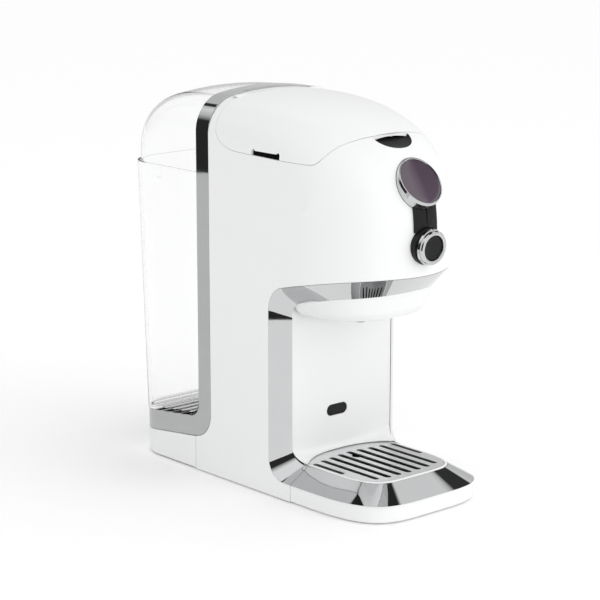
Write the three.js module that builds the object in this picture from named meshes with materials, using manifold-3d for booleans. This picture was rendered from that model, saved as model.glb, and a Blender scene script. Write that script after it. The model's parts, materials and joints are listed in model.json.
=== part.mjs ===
// Pod coffee machine: a casing with a hinged lid, a control knob, a display, a pull-out drip tray
// and a lift-off tank.
// Millimetres. +Z is up, the front faces -Y, and +X is on the right of someone who faces the front.
// The origin is the middle of the footprint, on the surface that the machine stands on.
import * as THREE from "three";
import { mergeVertices } from "three/addons/utils/BufferGeometryUtils.js";
import Module from "manifold-3d";

const wasm = await Module();
wasm.setup();

// ---------- driving dimensions ----------
const WIDTH = 135;
const HALF = WIDTH / 2;
const WALL = 2.4;
const GAP = 0.3;

const BODY_TOP = 312.2; // top of the lid at the rear
const BODY_REAR = 38.4; // plane where the casing meets the tank band
const BODY_FRONT = -137.6; // foremost line of the head
const NOSE_Z = 209; // height of that line
const NOSE_UNDERCUT = 0.0015; // how fast the front recedes below it
const NOSE_POWER = 2.8; // squareness of the head's side profile
const SHOULDER = { rear: 23.4, front: 30 }; // edge radius between roof and flanks
const CROWN = { rear: 0.0019, front: 0.0085 }; // roof and front bulge, per mm of width squared

const BAND_FRONT = 38.7;
const BAND_REAR = 54;
const BAND_TOP = 313.6;
const BAND_THICK = 2.4;

const COLUMN_FRONT = -33.9; // outer edge of the bright trim on the column
const TRIM = { innerHalf: 53.4, innerFront: -46, headInnerFront: -117.4, thick: 2.2, rim: 2.6 };
const HEAD_EDGE_Z = 184.6;
const HEAD_EDGE_DROP = 13.6;

const TRAY_SPLIT = -59; // joint between the tray unit and the casing
const TRAY = { front: -152.5, bezelBottom: 14.9, top: 27, half: 47.2, innerFront: -133, floor: 3 };
const SIDE_END = -66.4; // where the straight flanks of the base end
const GRILLE = { top: 27.2, thick: 1.8, pitch: 10.52, sideSlots: 4 };
const FLOAT = { x: -1.5, y: -65.7, r: 3.6 };

const TANK = { rim: 248.1, rear: 152.5, foot: 143.2, front: 54.4, corner: 31.5, wall: 2.2 };
const BASE_REAR = 141.9;
const BELT = { frontDrop: 57.2, lower: 29, upper: 44.6, slope: 0.11, knee: 65.8 };
const VALVE = { x: 0, y: 92 };
const SCREW = { x: 60, front: 10, rear: 92 };

const POD = { y: -65.9, rim: 17.4, foot: 15.2 };
const DISPLAY = { y: -131.4, z: 257, tilt: 35.5, glass: 18.4, ring: 20.4 };
const KNOB = { y: -147.3, z: 207.8, tilt: -4.8, ring: 14.1, cap: 9.4 };
const HINGE = { y: 31.5, z: 307.3, r: 3.2, pin: 1.2 };

// ---------- materials ----------
function finish(color, roughness, metalness, opacity = 1) {
  return new THREE.MeshStandardMaterial({
    color,
    roughness,
    metalness,
    opacity,
    transparent: opacity < 1,
  });
}
const WHITE = () => finish(0xf2f3f3, 0.32, 0);
const CHROME = () => finish(0xc8c9ca, 0.08, 1);
const BLACK = () => finish(0x1b1c1e, 0.4, 0);
const GREY = () => finish(0x8c8f92, 0.5, 0);
const STEEL = () => finish(0xa8abad, 0.3, 1);
const RUBBER = () => finish(0x2a2a2b, 0.8, 0);
const CLEAR = () => finish(0xe8f0f2, 0.08, 0, 0.3);
const GLASS = () => finish(0x6f646c, 0.05, 0);

// ---------- solids and booleans ----------
function signedVolume(geometry) {
  const p = geometry.attributes.position;
  const index = geometry.index.array;
  const [a, b, c] = [new THREE.Vector3(), new THREE.Vector3(), new THREE.Vector3()];
  let six = 0;
  for (let i = 0; i < index.length; i += 3) {
    a.fromBufferAttribute(p, index[i]);
    b.fromBufferAttribute(p, index[i + 1]);
    c.fromBufferAttribute(p, index[i + 2]);
    six += a.dot(b.cross(c));
  }
  return six;
}

// Turns a closed three.js geometry into a solid that can be joined and cut.
function solid(source) {
  const bare = source.clone();
  bare.deleteAttribute("normal");
  bare.deleteAttribute("uv");
  const merged = mergeVertices(bare, 1e-4);
  const triVerts = new Uint32Array(merged.index.array);
  if (signedVolume(merged) < 0) {
    for (let i = 0; i < triVerts.length; i += 3) {
      [triVerts[i + 1], triVerts[i + 2]] = [triVerts[i + 2], triVerts[i + 1]];
    }
  }
  const vertProperties = merged.attributes.position.array;
  return new wasm.Manifold(new wasm.Mesh({ numProp: 3, vertProperties, triVerts }));
}

function geometryOf(piece) {
  const mesh = piece.getMesh();
  const geometry = new THREE.BufferGeometry();
  geometry.setAttribute("position", new THREE.BufferAttribute(mesh.vertProperties, 3));
  geometry.setIndex(new THREE.BufferAttribute(mesh.triVerts, 1));
  return geometry;
}

function meshGeometry(points, triangles) {
  const geometry = new THREE.BufferGeometry();
  const flat = new Float32Array(points.flatMap((p) => [p.x, p.y, p.z]));
  geometry.setAttribute("position", new THREE.BufferAttribute(flat, 3));
  geometry.setIndex(triangles);
  return geometry;
}

function block(x0, x1, y0, y1, z0, z1) {
  const box = new THREE.BoxGeometry(x1 - x0, y1 - y0, z1 - z0);
  box.translate((x0 + x1) / 2, (y0 + y1) / 2, (z0 + z1) / 2);
  return solid(box);
}

function shapeOf(points) {
  return new THREE.Shape(points.map(([u, v]) => new THREE.Vector2(u, v)));
}

// An outline in the XY plane, raised from z0 to z1.
function plate(points, z0, z1) {
  const raised = new THREE.ExtrudeGeometry(shapeOf(points), { depth: z1 - z0, bevelEnabled: false });
  raised.translate(0, 0, z0);
  return solid(raised);
}

// A side outline in the YZ plane, spread from -half to +half across the machine.
function crosswise(points, half) {
  const spread = new THREE.ExtrudeGeometry(shapeOf(points), { depth: 2 * half, bevelEnabled: false });
  spread.translate(0, 0, -half);
  const turn = new THREE.Matrix4().set(0, 0, 1, 0, 1, 0, 0, 0, 0, 1, 0, 0, 0, 0, 0, 1);
  return solid(spread.applyMatrix4(turn));
}

// A turned piece: pairs of radius and height about the local Z axis.
function turned(profile, segments = 24) {
  const lathe = new THREE.LatheGeometry(
    profile.map(([r, h]) => new THREE.Vector2(r, h)),
    segments,
  );
  return lathe.rotateX(Math.PI / 2);
}

function rod(r, z0, z1, x = 0, y = 0, segments = 20) {
  return turned([[0, z0], [r, z0], [r, z1], [0, z1]], segments).translate(x, y, 0);
}

function sleeve(outer, inner, z0, z1, x = 0, y = 0, segments = 20) {
  return turned([[inner, z0], [outer, z0], [outer, z1], [inner, z1], [inner, z0]], segments)
    .translate(x, y, 0);
}

// A bar along X with a round section.
function crossRod(r, x0, x1, y, z, segments = 16) {
  return rod(r, x0, x1, 0, 0, segments).rotateY(Math.PI / 2).translate(0, y, z);
}

// A tube or rod that follows a smooth curve.
function along(points, r, steps, sides = 10) {
  const curve = new THREE.CatmullRomCurve3(points.map((p) => new THREE.Vector3(...p)));
  const section = new THREE.Shape();
  for (let i = 0; i < sides; i++) {
    const a = (2 * Math.PI * i) / sides;
    if (i === 0) section.moveTo(r, 0);
    else section.lineTo(r * Math.cos(a), r * Math.sin(a));
  }
  return new THREE.ExtrudeGeometry(section, { steps, bevelEnabled: false, extrudePath: curve });
}

// A closed skin through rings of equal length, capped at its two ends.
function loft(rings) {
  const points = rings.flat();
  const n = rings[0].length;
  const triangles = [];
  for (let i = 0; i + 1 < rings.length; i++) {
    for (let j = 0; j < n; j++) {
      const a = i * n + j;
      const b = i * n + ((j + 1) % n);
      triangles.push(a, b, a + n, b, b + n, a + n);
    }
  }
  for (const end of [0, rings.length - 1]) {
    const middle = new THREE.Vector3();
    rings[end].forEach((p) => middle.addScaledVector(p, 1 / n));
    const hub = points.push(middle) - 1;
    for (let j = 0; j < n; j++) {
      const a = end * n + j;
      const b = end * n + ((j + 1) % n);
      if (end === 0) triangles.push(hub, b, a);
      else triangles.push(hub, a, b);
    }
  }
  return solid(meshGeometry(points, triangles));
}

// ---------- curves ----------
const smooth = (t) => t * t * (3 - 2 * t);
const blend = (a, b, t) => a + (b - a) * t;

// One quarter of a superellipse, from angle 0 (full first axis) to a right angle (full second axis).
function superQuarter(a, b, powerA, powerB, steps) {
  return Array.from({ length: steps + 1 }, (_, i) => {
    const angle = (Math.PI / 2) * (i / steps);
    const u = a * Math.abs(Math.cos(angle)) ** (2 / powerA);
    return [u, b * Math.sin(angle) ** (2 / powerB)];
  });
}

// Points of the arc that rounds the corner between two directions in the YZ plane.
function filletPoints(corner, from, to, r, steps) {
  const a = new THREE.Vector2(...from).normalize();
  const b = new THREE.Vector2(...to).normalize();
  const turn = Math.PI - a.angleTo(b);
  const reach = r / Math.tan((Math.PI - turn) / 2);
  const start = new THREE.Vector2(...corner).addScaledVector(a, reach);
  const end = new THREE.Vector2(...corner).addScaledVector(b, reach);
  const bisector = a.clone().add(b).normalize();
  const centre = new THREE.Vector2(...corner).addScaledVector(bisector, Math.hypot(r, reach));
  const first = start.clone().sub(centre).angle();
  let sweep = end.clone().sub(centre).angle() - first;
  if (sweep > Math.PI) sweep -= 2 * Math.PI;
  if (sweep < -Math.PI) sweep += 2 * Math.PI;
  return Array.from({ length: steps + 1 }, (_, i) => {
    const angle = first + (sweep * i) / steps;
    return [centre.x + r * Math.cos(angle), centre.y + r * Math.sin(angle)];
  });
}

// ---------- the crowned form of the head, the band and the tank lid ----------
// A D-shaped section (crowned roof, rounded shoulders, flat flanks) rides along a profile in the YZ plane.
// The solid between the surface and a hub line parallel to X is closed with flat flanks and two end caps.
function crownedForm(profile, half, hub) {
  const flat = 3;
  const round = 5;
  const points = [];
  for (const { y, z, ny, nz, shoulder, crown } of profile) {
    const row = [];
    for (let i = 0; i <= flat + round; i++) {
      const bend = i <= flat ? 0 : (Math.PI / 2) * ((i - flat) / round);
      const x = i <= flat ? (half - shoulder) * (i / flat) : half - shoulder * (1 - Math.sin(bend));
      const depth = shoulder * (1 - Math.cos(bend)) + crown * x * x;
      row.push([x, y - ny * depth, z - nz * depth]);
    }
    const mirrored = row.slice(1).reverse().map(([x, a, b]) => [-x, a, b]);
    points.push(...[...mirrored, ...row].map((p) => new THREE.Vector3(...p)));
  }
  const n = 2 * (flat + round) + 1;
  const last = (profile.length - 1) * n;
  const middle = points.push(new THREE.Vector3(0, ...hub)) - 1;
  const left = points.push(new THREE.Vector3(-half, ...hub)) - 1;
  const right = points.push(new THREE.Vector3(half, ...hub)) - 1;
  const triangles = [];
  for (let i = 0; i + 1 < profile.length; i++) {
    for (let j = 0; j + 1 < n; j++) {
      const a = i * n + j;
      triangles.push(a, a + n, a + 1, a + 1, a + n, a + n + 1);
    }
    triangles.push(left, (i + 1) * n, i * n);
    triangles.push(right, i * n + n - 1, (i + 1) * n + n - 1);
  }
  for (let j = 0; j + 1 < n; j++) {
    triangles.push(middle, j, j + 1);
    triangles.push(middle, last + j + 1, last + j);
  }
  triangles.push(middle, left, 0, middle, n - 1, right);
  triangles.push(middle, last, left, middle, right, last + n - 1);
  return solid(meshGeometry(points, triangles));
}

// Stations along a superellipse quarter that leaves the top plane at yStart and ends upright at yEnd.
function archProfile({ yStart, yEnd, top, foot, power, steps, inset, shoulder, crown }) {
  const reach = yEnd - yStart;
  const rise = top - foot;
  const way = Math.sign(reach);
  const quarter = superQuarter(rise, Math.abs(reach), power, power, steps);
  return quarter.map(([up, out], i) => {
    const gy = (out / Math.abs(reach)) ** (power - 1) / Math.abs(reach);
    const gz = (up / rise) ** (power - 1) / rise;
    const size = Math.hypot(gy, gz);
    const ny = (way * gy) / size;
    const nz = gz / size;
    const share = smooth(i / steps);
    return {
      y: yStart + way * out - ny * inset,
      z: foot + up - nz * inset,
      ny,
      nz,
      shoulder: blend(shoulder.rear, shoulder.front, share) - inset,
      crown: blend(crown.rear, crown.front, share),
    };
  });
}

const frontLine = (z) => BODY_FRONT + NOSE_UNDERCUT * Math.max(NOSE_Z - z, 0) ** 2;

// The head, from its rear plane over the roof and down the front to below its lower edge.
function headForm(inset) {
  const shape = { yStart: BAND_FRONT, yEnd: BODY_FRONT, top: BODY_TOP, foot: NOSE_Z, power: NOSE_POWER };
  const profile = archProfile({ ...shape, steps: 15, inset, shoulder: SHOULDER, crown: CROWN });
  const rear = { ...profile[0], y: BODY_REAR + (inset ? 20 : 0) };
  const low = 160 - inset;
  const rows = 3;
  const below = Array.from({ length: rows }, (_, i) => {
    const z = NOSE_Z - ((NOSE_Z - low) * (i + 1)) / rows;
    return { ...profile.at(-1), y: frontLine(z) + inset, z };
  });
  profile[0] = { ...profile[0], y: BODY_REAR - 2 };
  return crownedForm([rear, ...profile, ...below], HALF - inset, [rear.y, low]);
}

// ---------- shared outlines ----------
// Lower edge of the head as seen from the side.
function headEdge(y) {
  const t = Math.min(Math.max((y + 133.9) / 84, 0), 1.2);
  return HEAD_EDGE_Z - HEAD_EDGE_DROP * t ** 1.55;
}

function innerHeadEdge(y) {
  const t = Math.min(Math.max((y - TRIM.headInnerFront) / 57.4, 0), 1.3);
  return 169 - 10 * t ** 1.5;
}

const EDGE_START = -49.9;
const EDGE_SLOPE = [-1, 0.25];
const outerTop = filletPoints([COLUMN_FRONT, 167], EDGE_SLOPE, [0, -1], 20.8, 6);
const outerFoot = filletPoints([COLUMN_FRONT, TRAY.bezelBottom], [0, 1], [-1, 0], 17, 6);
const innerTop = filletPoints([TRIM.innerFront, 155.4], EDGE_SLOPE, [0, -1], 12, 6);
const innerFoot = filletPoints([TRIM.innerFront, 26.2], [0, 1], [-1, 0], 12, 6);

// The rear band runs down behind the casing, turns and becomes a belt that falls slightly to the rear.
const beltLower = (y) => BELT.lower - BELT.slope * (y - BELT.frontDrop);
const beltUpper = (y) => BELT.upper - BELT.slope * (y - BELT.knee);
const bandOuterBend = filletPoints([BAND_FRONT, 33.5], [0, 1], [1, -0.22], 22, 7);
const bandInnerBend = filletPoints([BAND_REAR, 46], [0, 1], [1, -0.11], 12, 5);

// Half of the machine's plan at the base: straight flanks, then a rounded, bowed front.
function frontPlan(half, front, steps, powers = [4.4, 3.36], start = SIDE_END) {
  return superQuarter(half, start - front, powers[0], powers[1], steps)
    .map(([x, out]) => [x, start - out]);
}

function wholePlan(half, front, rear, steps, powers, start) {
  const right = frontPlan(half, front, steps, powers, start);
  const left = right.slice(0, -1).reverse().map(([x, y]) => [-x, y]);
  return [...right, ...left, ...rear];
}

// Plan of the tank and of the base below it: square to the front, round corners at the rear.
function rearPlan(half, front, rear, corner, steps = 6) {
  const arc = Array.from({ length: steps + 1 }, (_, i) => {
    const angle = (Math.PI / 2) * (i / steps);
    return [half - corner + corner * Math.cos(angle), rear - corner + corner * Math.sin(angle)];
  });
  return [[half, front], ...arc, ...arc.slice().reverse().map(([x, y]) => [-x, y]), [-half, front]];
}

// ---------- assembly ----------
const machine = new THREE.Group();
machine.name = "pod_coffee_machine";

function add(name, piece, material) {
  const geometry = geometryOf(piece.isBufferGeometry ? solid(piece) : piece);
  const mesh = new THREE.Mesh(geometry, material);
  mesh.name = name;
  machine.add(mesh);
  return mesh;
}

// ----- casing and lid -----
const headShell = headForm(0).subtract(headForm(WALL));
const upperFace = (points, lift) => points.map(([y, z]) => [y, z + lift]);

const headEdgeLine = [];
for (let y = BODY_FRONT - 6; y < EDGE_START - 3; y += 7) headEdgeLine.push([y, headEdge(y)]);

const casingOutline = [
  [TRAY_SPLIT, 1.2],
  [BELT.frontDrop + 1.2, 1.2],
  [BELT.frontDrop + 1.2, beltLower(BELT.frontDrop) - 0.4],
  ...bandOuterBend.slice().reverse().map(([y, z]) => [y - GAP, z - GAP]),
  [BODY_REAR, 330],
  [-160, 330],
  [-160, HEAD_EDGE_Z + GAP],
  ...upperFace(headEdgeLine, GAP),
  ...outerTop.map(([y, z]) => [y + 0.2, z + 0.2]),
  ...outerFoot.map(([y, z]) => [y + 0.2, z - 0.2]),
  [TRAY_SPLIT, TRAY.bezelBottom - GAP],
];

function lidOutline(grow) {
  const shape = new THREE.Shape();
  shape.moveTo(30 + grow, 335);
  shape.lineTo(30 + grow, 290);
  shape.bezierCurveTo(30 + grow, 278 - grow, 20 + grow, 271.2 - grow, 2, 270.7 - grow);
  shape.lineTo(-70, 269.2 - grow);
  shape.quadraticCurveTo(-80 - grow, 269 - grow, -83.5 - grow, 273.4 - grow);
  shape.bezierCurveTo(-87 - grow, 278, -89 - grow, 285 - grow, -97 - grow, 289 - grow);
  shape.lineTo(-100 - grow, 292);
  shape.lineTo(-100 - grow, 335);
  return shape.getPoints(6).map((p) => [p.x, p.y]);
}

const flankBlocks = block(-HALF, HALF, TRAY_SPLIT, BODY_REAR, 1.2, 175)
  .add(block(-HALF, HALF, BODY_REAR - 1, BELT.frontDrop + 1.2, 1.2, 58))
  .subtract(block(-HALF + WALL, HALF - WALL, TRAY_SPLIT - 2, 80, 0, 180));

function tiltedPlace(geometry, { y, z, tilt }) {
  // The local Z axis of the piece becomes the outward direction of a tilted front control.
  return geometry.rotateX(Math.PI / 2 - (tilt * Math.PI) / 180).translate(0, y, z);
}

const displayHole = solid(tiltedPlace(rod(DISPLAY.ring + GAP, -40, 20, 0, 0, 28), DISPLAY));
const knobHole = solid(tiltedPlace(rod(6, -30, 20), KNOB));

const crescent = Array.from({ length: 17 }, (_, i) => {
  const angle = Math.PI * (i / 16);
  return [18.6 * Math.cos(angle), -97.6 - 14.6 * Math.sin(angle)];
}).reverse();
const crescentPrism = plate(crescent, 270, 300);
const crescentHole = plate(crescent.map(([x, y]) => [x * 1.02, y < -98 ? y - GAP : y]), 270, 300);

function hingeEars() {
  const ears = [-1, 1].map((side) => {
    const [a, b] = [side * 18.4, side * 23.6].sort((p, q) => p - q);
    const lug = solid(crossRod(HINGE.r, a, b, HINGE.y, HINGE.z));
    return lug
      .add(block(a, b, HINGE.y - 1, BODY_REAR - 0.2, HINGE.z - 5, HINGE.z + 1))
      .add(block(a, b, 35.8, BODY_REAR - 0.2, HINGE.z - 5, HINGE.z + 3.2));
  });
  return ears[0].add(ears[1]);
}

const hingeBore = solid(crossRod(HINGE.pin + 0.05, -60, 60, HINGE.y, HINGE.z));
const hingeGroove = block(-46, 46, 29, 35.6, HINGE.z - 4.5, 330);

function vents(grow) {
  const one = (side) => {
    const [a, b] = side < 0 ? [-HALF - 2, -HALF + 6] : [HALF - 6, HALF + 2];
    return block(a, b, -46.8 - grow, -14.9 + grow, 260, 274.4 + grow);
  };
  return one(-1).add(one(1));
}

const lidPrism = crosswise(lidOutline(0), 80);
const casing = headShell
  .add(flankBlocks)
  .intersect(crosswise(casingOutline, 80))
  .subtract(crosswise(lidOutline(GAP), 80))
  .subtract(hingeGroove)
  .add(hingeEars().subtract(hingeBore))
  .subtract(displayHole)
  .subtract(knobHole)
  .subtract(crescentHole);
const casingBoss = (x) => solid(sleeve(5.4, 1.9, 3.9, 16, x, SCREW.front, 18));
add("main_casing", casing.add(casingBoss(-SCREW.x)).add(casingBoss(SCREW.x)), WHITE());

function lidBarrel() {
  const spans = [[-45, -24], [-18, 18], [24, 45]];
  const parts = spans.map(([a, b]) => {
    const barrel = solid(crossRod(HINGE.r, a, b, HINGE.y, HINGE.z));
    return barrel.add(block(a, b, 27, HINGE.y, HINGE.z - 1.2, HINGE.z + 1.4));
  });
  return parts.reduce((all, part) => all.add(part));
}

const earClearance = [-1, 1]
  .map((side) => {
    const [a, b] = [side * 18, side * 24].sort((p, q) => p - q);
    return solid(crossRod(HINGE.r + 0.6, a, b, HINGE.y, HINGE.z));
  })
  .reduce((all, part) => all.add(part));
const lid = headShell
  .intersect(lidPrism)
  .subtract(block(-45, 45, HINGE.y - 0.5, 60, 200, 340))
  .add(lidBarrel())
  .subtract(earClearance)
  .subtract(hingeBore)
  .subtract(vents(GAP));
add("brew_lid", lid, WHITE());
add("lid_hinge_pin", crossRod(HINGE.pin, -44, 44, HINGE.y, HINGE.z, 16), STEEL());

const ventBody = headForm(0.2).subtract(headForm(WALL + 1.6));
for (const [name, side] of [["steam_vent_left", -1], ["steam_vent_right", 1]]) {
  const [a, b] = side < 0 ? [-90, 0] : [0, 90];
  const piece = ventBody
    .intersect(vents(0))
    .intersect(lidPrism)
    .intersect(block(a, b, -80, 20, 240, 290));
  add(name, piece, BLACK());
}

const recess = headForm(0.9).subtract(headForm(WALL + 1.4)).intersect(crescentPrism);
add("finger_recess", recess.subtract(crosswise(lidOutline(GAP + 0.1), 80)), BLACK());

// ----- bright trim around the open front -----
// Two rails bound the strip: the outer one lies on the casing's edge, the inner one on the white inner faces.
function trimRails() {
  const stations = [];
  const bow = 10;
  const headHalf = superQuarter(1, 1, 2.8, 2.8, bow).reverse();
  for (const [u, out] of headHalf) {
    const x = HALF * u;
    const over = Math.max(x - (HALF - SHOULDER.front), 0);
    const round = SHOULDER.front - Math.sqrt(Math.max(SHOULDER.front ** 2 - over ** 2, 0));
    let y = -133.4;
    for (let i = 0; i < 4; i++) y = frontLine(headEdge(y)) + CROWN.front * x * x + round;
    const yi = -60 - 57.4 * out;
    const inner = [TRIM.innerHalf * u, yi, innerHeadEdge(yi)];
    stations.push({ outer: [x, y, headEdge(y)], inner, back: [0, 1] });
  }
  const side = (outer, inner, back, innerHalf = TRIM.innerHalf) =>
    stations.push({ outer: [HALF, ...outer], inner: [innerHalf, ...inner], back });
  outerTop.forEach((p, i) => {
    const angle = (Math.PI / 2) * (i / 6);
    side(p, innerTop[i], [Math.sin(angle), Math.cos(angle)]);
  });
  outerFoot.forEach((p, i) => {
    const angle = (Math.PI / 2) * (i / 6);
    side(p, innerFoot[i], [Math.cos(angle), -Math.sin(angle)], blend(TRIM.innerHalf, 49.2, smooth(i / 6)));
  });
  const bezel = superQuarter(HALF, SIDE_END - TRAY.front, 4.4, 3.36, bow);
  const rim = superQuarter(TRAY.half, SIDE_END - TRAY.innerFront, 5, 5, bow);
  bezel.forEach(([x, out], i) => {
    const widen = i === 0 ? 0.6 : 0;
    const outer = [x, SIDE_END - out, TRAY.bezelBottom];
    const inner = [rim[i][0] + widen, SIDE_END - rim[i][1], 26.2];
    stations.push({ outer, inner, back: [0, -1] });
  });
  return stations;
}

function trimRing() {
  const half = trimRails();
  const sections = half.map(({ outer, inner, back }, i) => {
    const next = half[Math.min(i + 1, half.length - 1)].outer;
    const before = half[Math.max(i - 1, 0)].outer;
    const dx = Math.abs(next[0] - before[0]);
    const dy = dx > 0 ? Math.abs(next[1] - before[1]) : 1;
    const ends = i === 0 || i === half.length - 1;
    const size = Math.hypot(dx, dy);
    const [sx, sy] = ends ? [0, -1] : [dy / size, -dx / size];
    const lip = [outer[0] - TRIM.rim * sx, outer[1] - TRIM.rim * sy, outer[2]];
    const heel = [inner[0], inner[1] + TRIM.thick * back[0], inner[2] + TRIM.thick * back[1]];
    return [outer, inner, heel, lip];
  });
  const mirrored = sections.slice(1, -1).reverse()
    .map((section) => section.map(([x, y, z]) => [-x, y, z]));
  const ring = [...sections, ...mirrored];
  const points = ring.flat().map((p) => new THREE.Vector3(...p));
  const triangles = [];
  const n = ring.length;
  for (let i = 0; i < n; i++) {
    for (let j = 0; j < 4; j++) {
      const a = i * 4 + j;
      const b = i * 4 + ((j + 1) % 4);
      const c = ((i + 1) % n) * 4 + j;
      const d = ((i + 1) % n) * 4 + ((j + 1) % 4);
      triangles.push(a, b, c, b, d, c);
    }
  }
  return solid(meshGeometry(points, triangles));
}

const ring = trimRing();
const trayZone = block(-90, 90, -170, TRAY_SPLIT - GAP, -10, 60);
const bodyZone = block(-90, 90, -170, TRAY_SPLIT, -10, 60);
add("bright_trim", ring.subtract(bodyZone), CHROME());
add("tray_bezel", ring.intersect(trayZone), CHROME());

// ----- column panel, level window and spout -----
function panelLine(half, centreY, edgeY, steps) {
  return Array.from({ length: steps + 1 }, (_, i) => {
    const x = half - (2 * half * i) / steps;
    return [x, centreY + (edgeY - centreY) * (x / half) ** 2];
  });
}

const panelFace = panelLine(TRIM.innerHalf - GAP, -39.2, -45.6, 14);
const panelBack = panelLine(TRIM.innerHalf - GAP, -37, -43.4, 14).reverse();
const windowCut = solid(
  new THREE.ExtrudeGeometry(roundedSlot(11, 4.7), { depth: 30, bevelEnabled: false })
    .rotateX(Math.PI / 2)
    .translate(0, -25, 60),
);
const windowPiece = solid(
  new THREE.ExtrudeGeometry(roundedSlot(10.7, 4.4), { depth: 4, bevelEnabled: false })
    .rotateX(Math.PI / 2)
    .translate(0, -35.8, 60),
);

function roundedSlot(halfLength, r) {
  const shape = new THREE.Shape();
  shape.absarc(halfLength - r, 0, r, -Math.PI / 2, Math.PI / 2, false);
  shape.absarc(-halfLength + r, 0, r, Math.PI / 2, (3 * Math.PI) / 2, false);
  return shape;
}

const panelFoot = [-48.6, -36, -24, -12, 0, 12, 24, 36, 48.6].map((x) => [x, -39.8 - 0.0055 * x * x]);
const panel = plate([...panelFace, ...panelBack], 38.6, 153)
  .add(plate([...panelFoot, [48.6, -40.6], [24, -37.4], [-24, -37.4], [-48.6, -40.6]], 24.6, 27.9))
  .add(plate([...panelLine(48.6, -39.2, -44.6, 10), ...panelLine(48.6, -37, -42.4, 10).reverse()], 27, 39))
  .subtract(windowCut);
add("column_panel", panel, WHITE());
add("level_window", windowPiece, BLACK());

// The underside of the head is a shallow bowl that carries the outlet, open at the top and at the rear.
const RIM_LINE = (y) => innerHeadEdge(Math.max(y, TRIM.headInnerFront));
function bowlRing(across, along, heightAt, open) {
  const half = (TRIM.innerHalf - GAP) * across;
  const right = superQuarter(half, 57 * along, 2.8, 2.8, 8).map(([x, out]) => [x, -60 - out]);
  const left = right.slice(0, -1).reverse().map(([x, y]) => [-x, y]);
  const loop = [[half, -47 + open], ...right, ...left, [-half, -47 + open], [0, -41.2 + open]];
  return loop.map(([x, y]) => new THREE.Vector3(x, y, heightAt(y)));
}

// Each row gives how deep the ring lies and how much of the rim's width and length it keeps.
const BOWL_FLOOR = 145.2;
const BOWL_RINGS = [
  [1, 0.6, 0.64],
  [0.88, 0.84, 0.83],
  [0.64, 0.91, 0.9],
  [0.36, 0.955, 0.945],
  [0.12, 0.985, 0.975],
];

function bowl(inset) {
  const s = 1 - inset / 55;
  const open = inset ? 9 : 0;
  const rows = BOWL_RINGS.map(([deep, across, along]) =>
    bowlRing(across * s, along * s, (y) => blend(RIM_LINE(y), BOWL_FLOOR, deep) + inset, open),
  );
  return loft([...rows, bowlRing(s, s, (y) => RIM_LINE(y) + (inset ? 8 : 0), open)]);
}

const outletCut = solid(rod(5.3, 120, 160, 0, POD.y));
const housing = bowl(0).subtract(bowl(2.2)).subtract(outletCut);
add("spout_housing", housing, WHITE());
add("spout_nozzle", sleeve(5, 2.6, 137.4, 223, 0, POD.y, 20), BLACK());

// ----- controls on the front -----
const bezelProfile = [
  [18.7, 0.3], [19.3, 0.8], [19.9, 0.3], [DISPLAY.ring, -2], [DISPLAY.ring, -14], [17, -14],
  [17, -2.4], [18.7, -2.4], [18.7, 0.3],
];
const glassProfile = [[0, -2], [DISPLAY.glass, -2], [DISPLAY.glass, 0], [12, 0.35], [0, 0.5]];
add("display_bezel", tiltedPlace(turned(bezelProfile, 28), DISPLAY), CHROME());
add("display_glass", tiltedPlace(turned(glassProfile, 28), DISPLAY), GLASS());
const screenBack = [[0, -13.6], [16.6, -13.6], [16.6, -2.8], [0, -2.8]];
add("display_module", tiltedPlace(turned(screenBack, 16), DISPLAY), BLACK());

const stripShell = headForm(-2).subtract(headForm(-0.3)).intersect(
  block(-11.6, 11.6, -160, -110, 219.6, 247),
);
const stripGroove = block(-0.5, 0.5, -144, -100, 226, 260).intersect(
  headForm(-3).subtract(headForm(-1.2)),
);
const knobClear = solid(tiltedPlace(rod(14.8, -20, 20, 0, 0, 24), KNOB));
const strip = stripShell.subtract(stripGroove).subtract(knobClear).subtract(displayHole);
add("control_strip", strip, BLACK());

const collar = [[6.2, -12.4], [14.4, -12.4], [14.4, -6.7], [13.8, -6.1], [6.2, -6.1], [6.2, -12.4]];
const knobRing = [
  [9.7, -4.9], [13.6, -4.9], [KNOB.ring, -4.4], [13.6, -3.6], [13.1, -3.2], [13.3, -1.2],
  [12.6, -0.2], [11.4, 0], [10, -0.5], [9.7, -1.6], [9.7, -4.9],
];
const knobCap = [[0, -4.9], [KNOB.cap, -4.9], [KNOB.cap, -1.6], [8.4, -1.1], [0, -1.4]];
const knobStem = [[0, -26], [3, -26], [3, -5.2], [0, -5.2]];
const encoder = [[3.3, -24], [5.6, -24], [5.6, -12], [3.3, -12], [3.3, -24]];
const collarSolid = solid(tiltedPlace(turned(collar, 24), KNOB)).subtract(headForm(-0.3));
add("knob_collar", collarSolid, BLACK());
add("knob_ring", tiltedPlace(turned(knobRing, 24), KNOB), CHROME());
add("knob_cap", tiltedPlace(turned(knobCap, 24), KNOB), BLACK());
add("knob_stem", tiltedPlace(turned(knobStem, 16), KNOB), STEEL());
add("knob_encoder", tiltedPlace(turned(encoder, 16), KNOB), GREY());
add("control_board", block(-30, 30, -107, -105.4, 192, 238), finish(0x2f6b3c, 0.6, 0));

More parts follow.
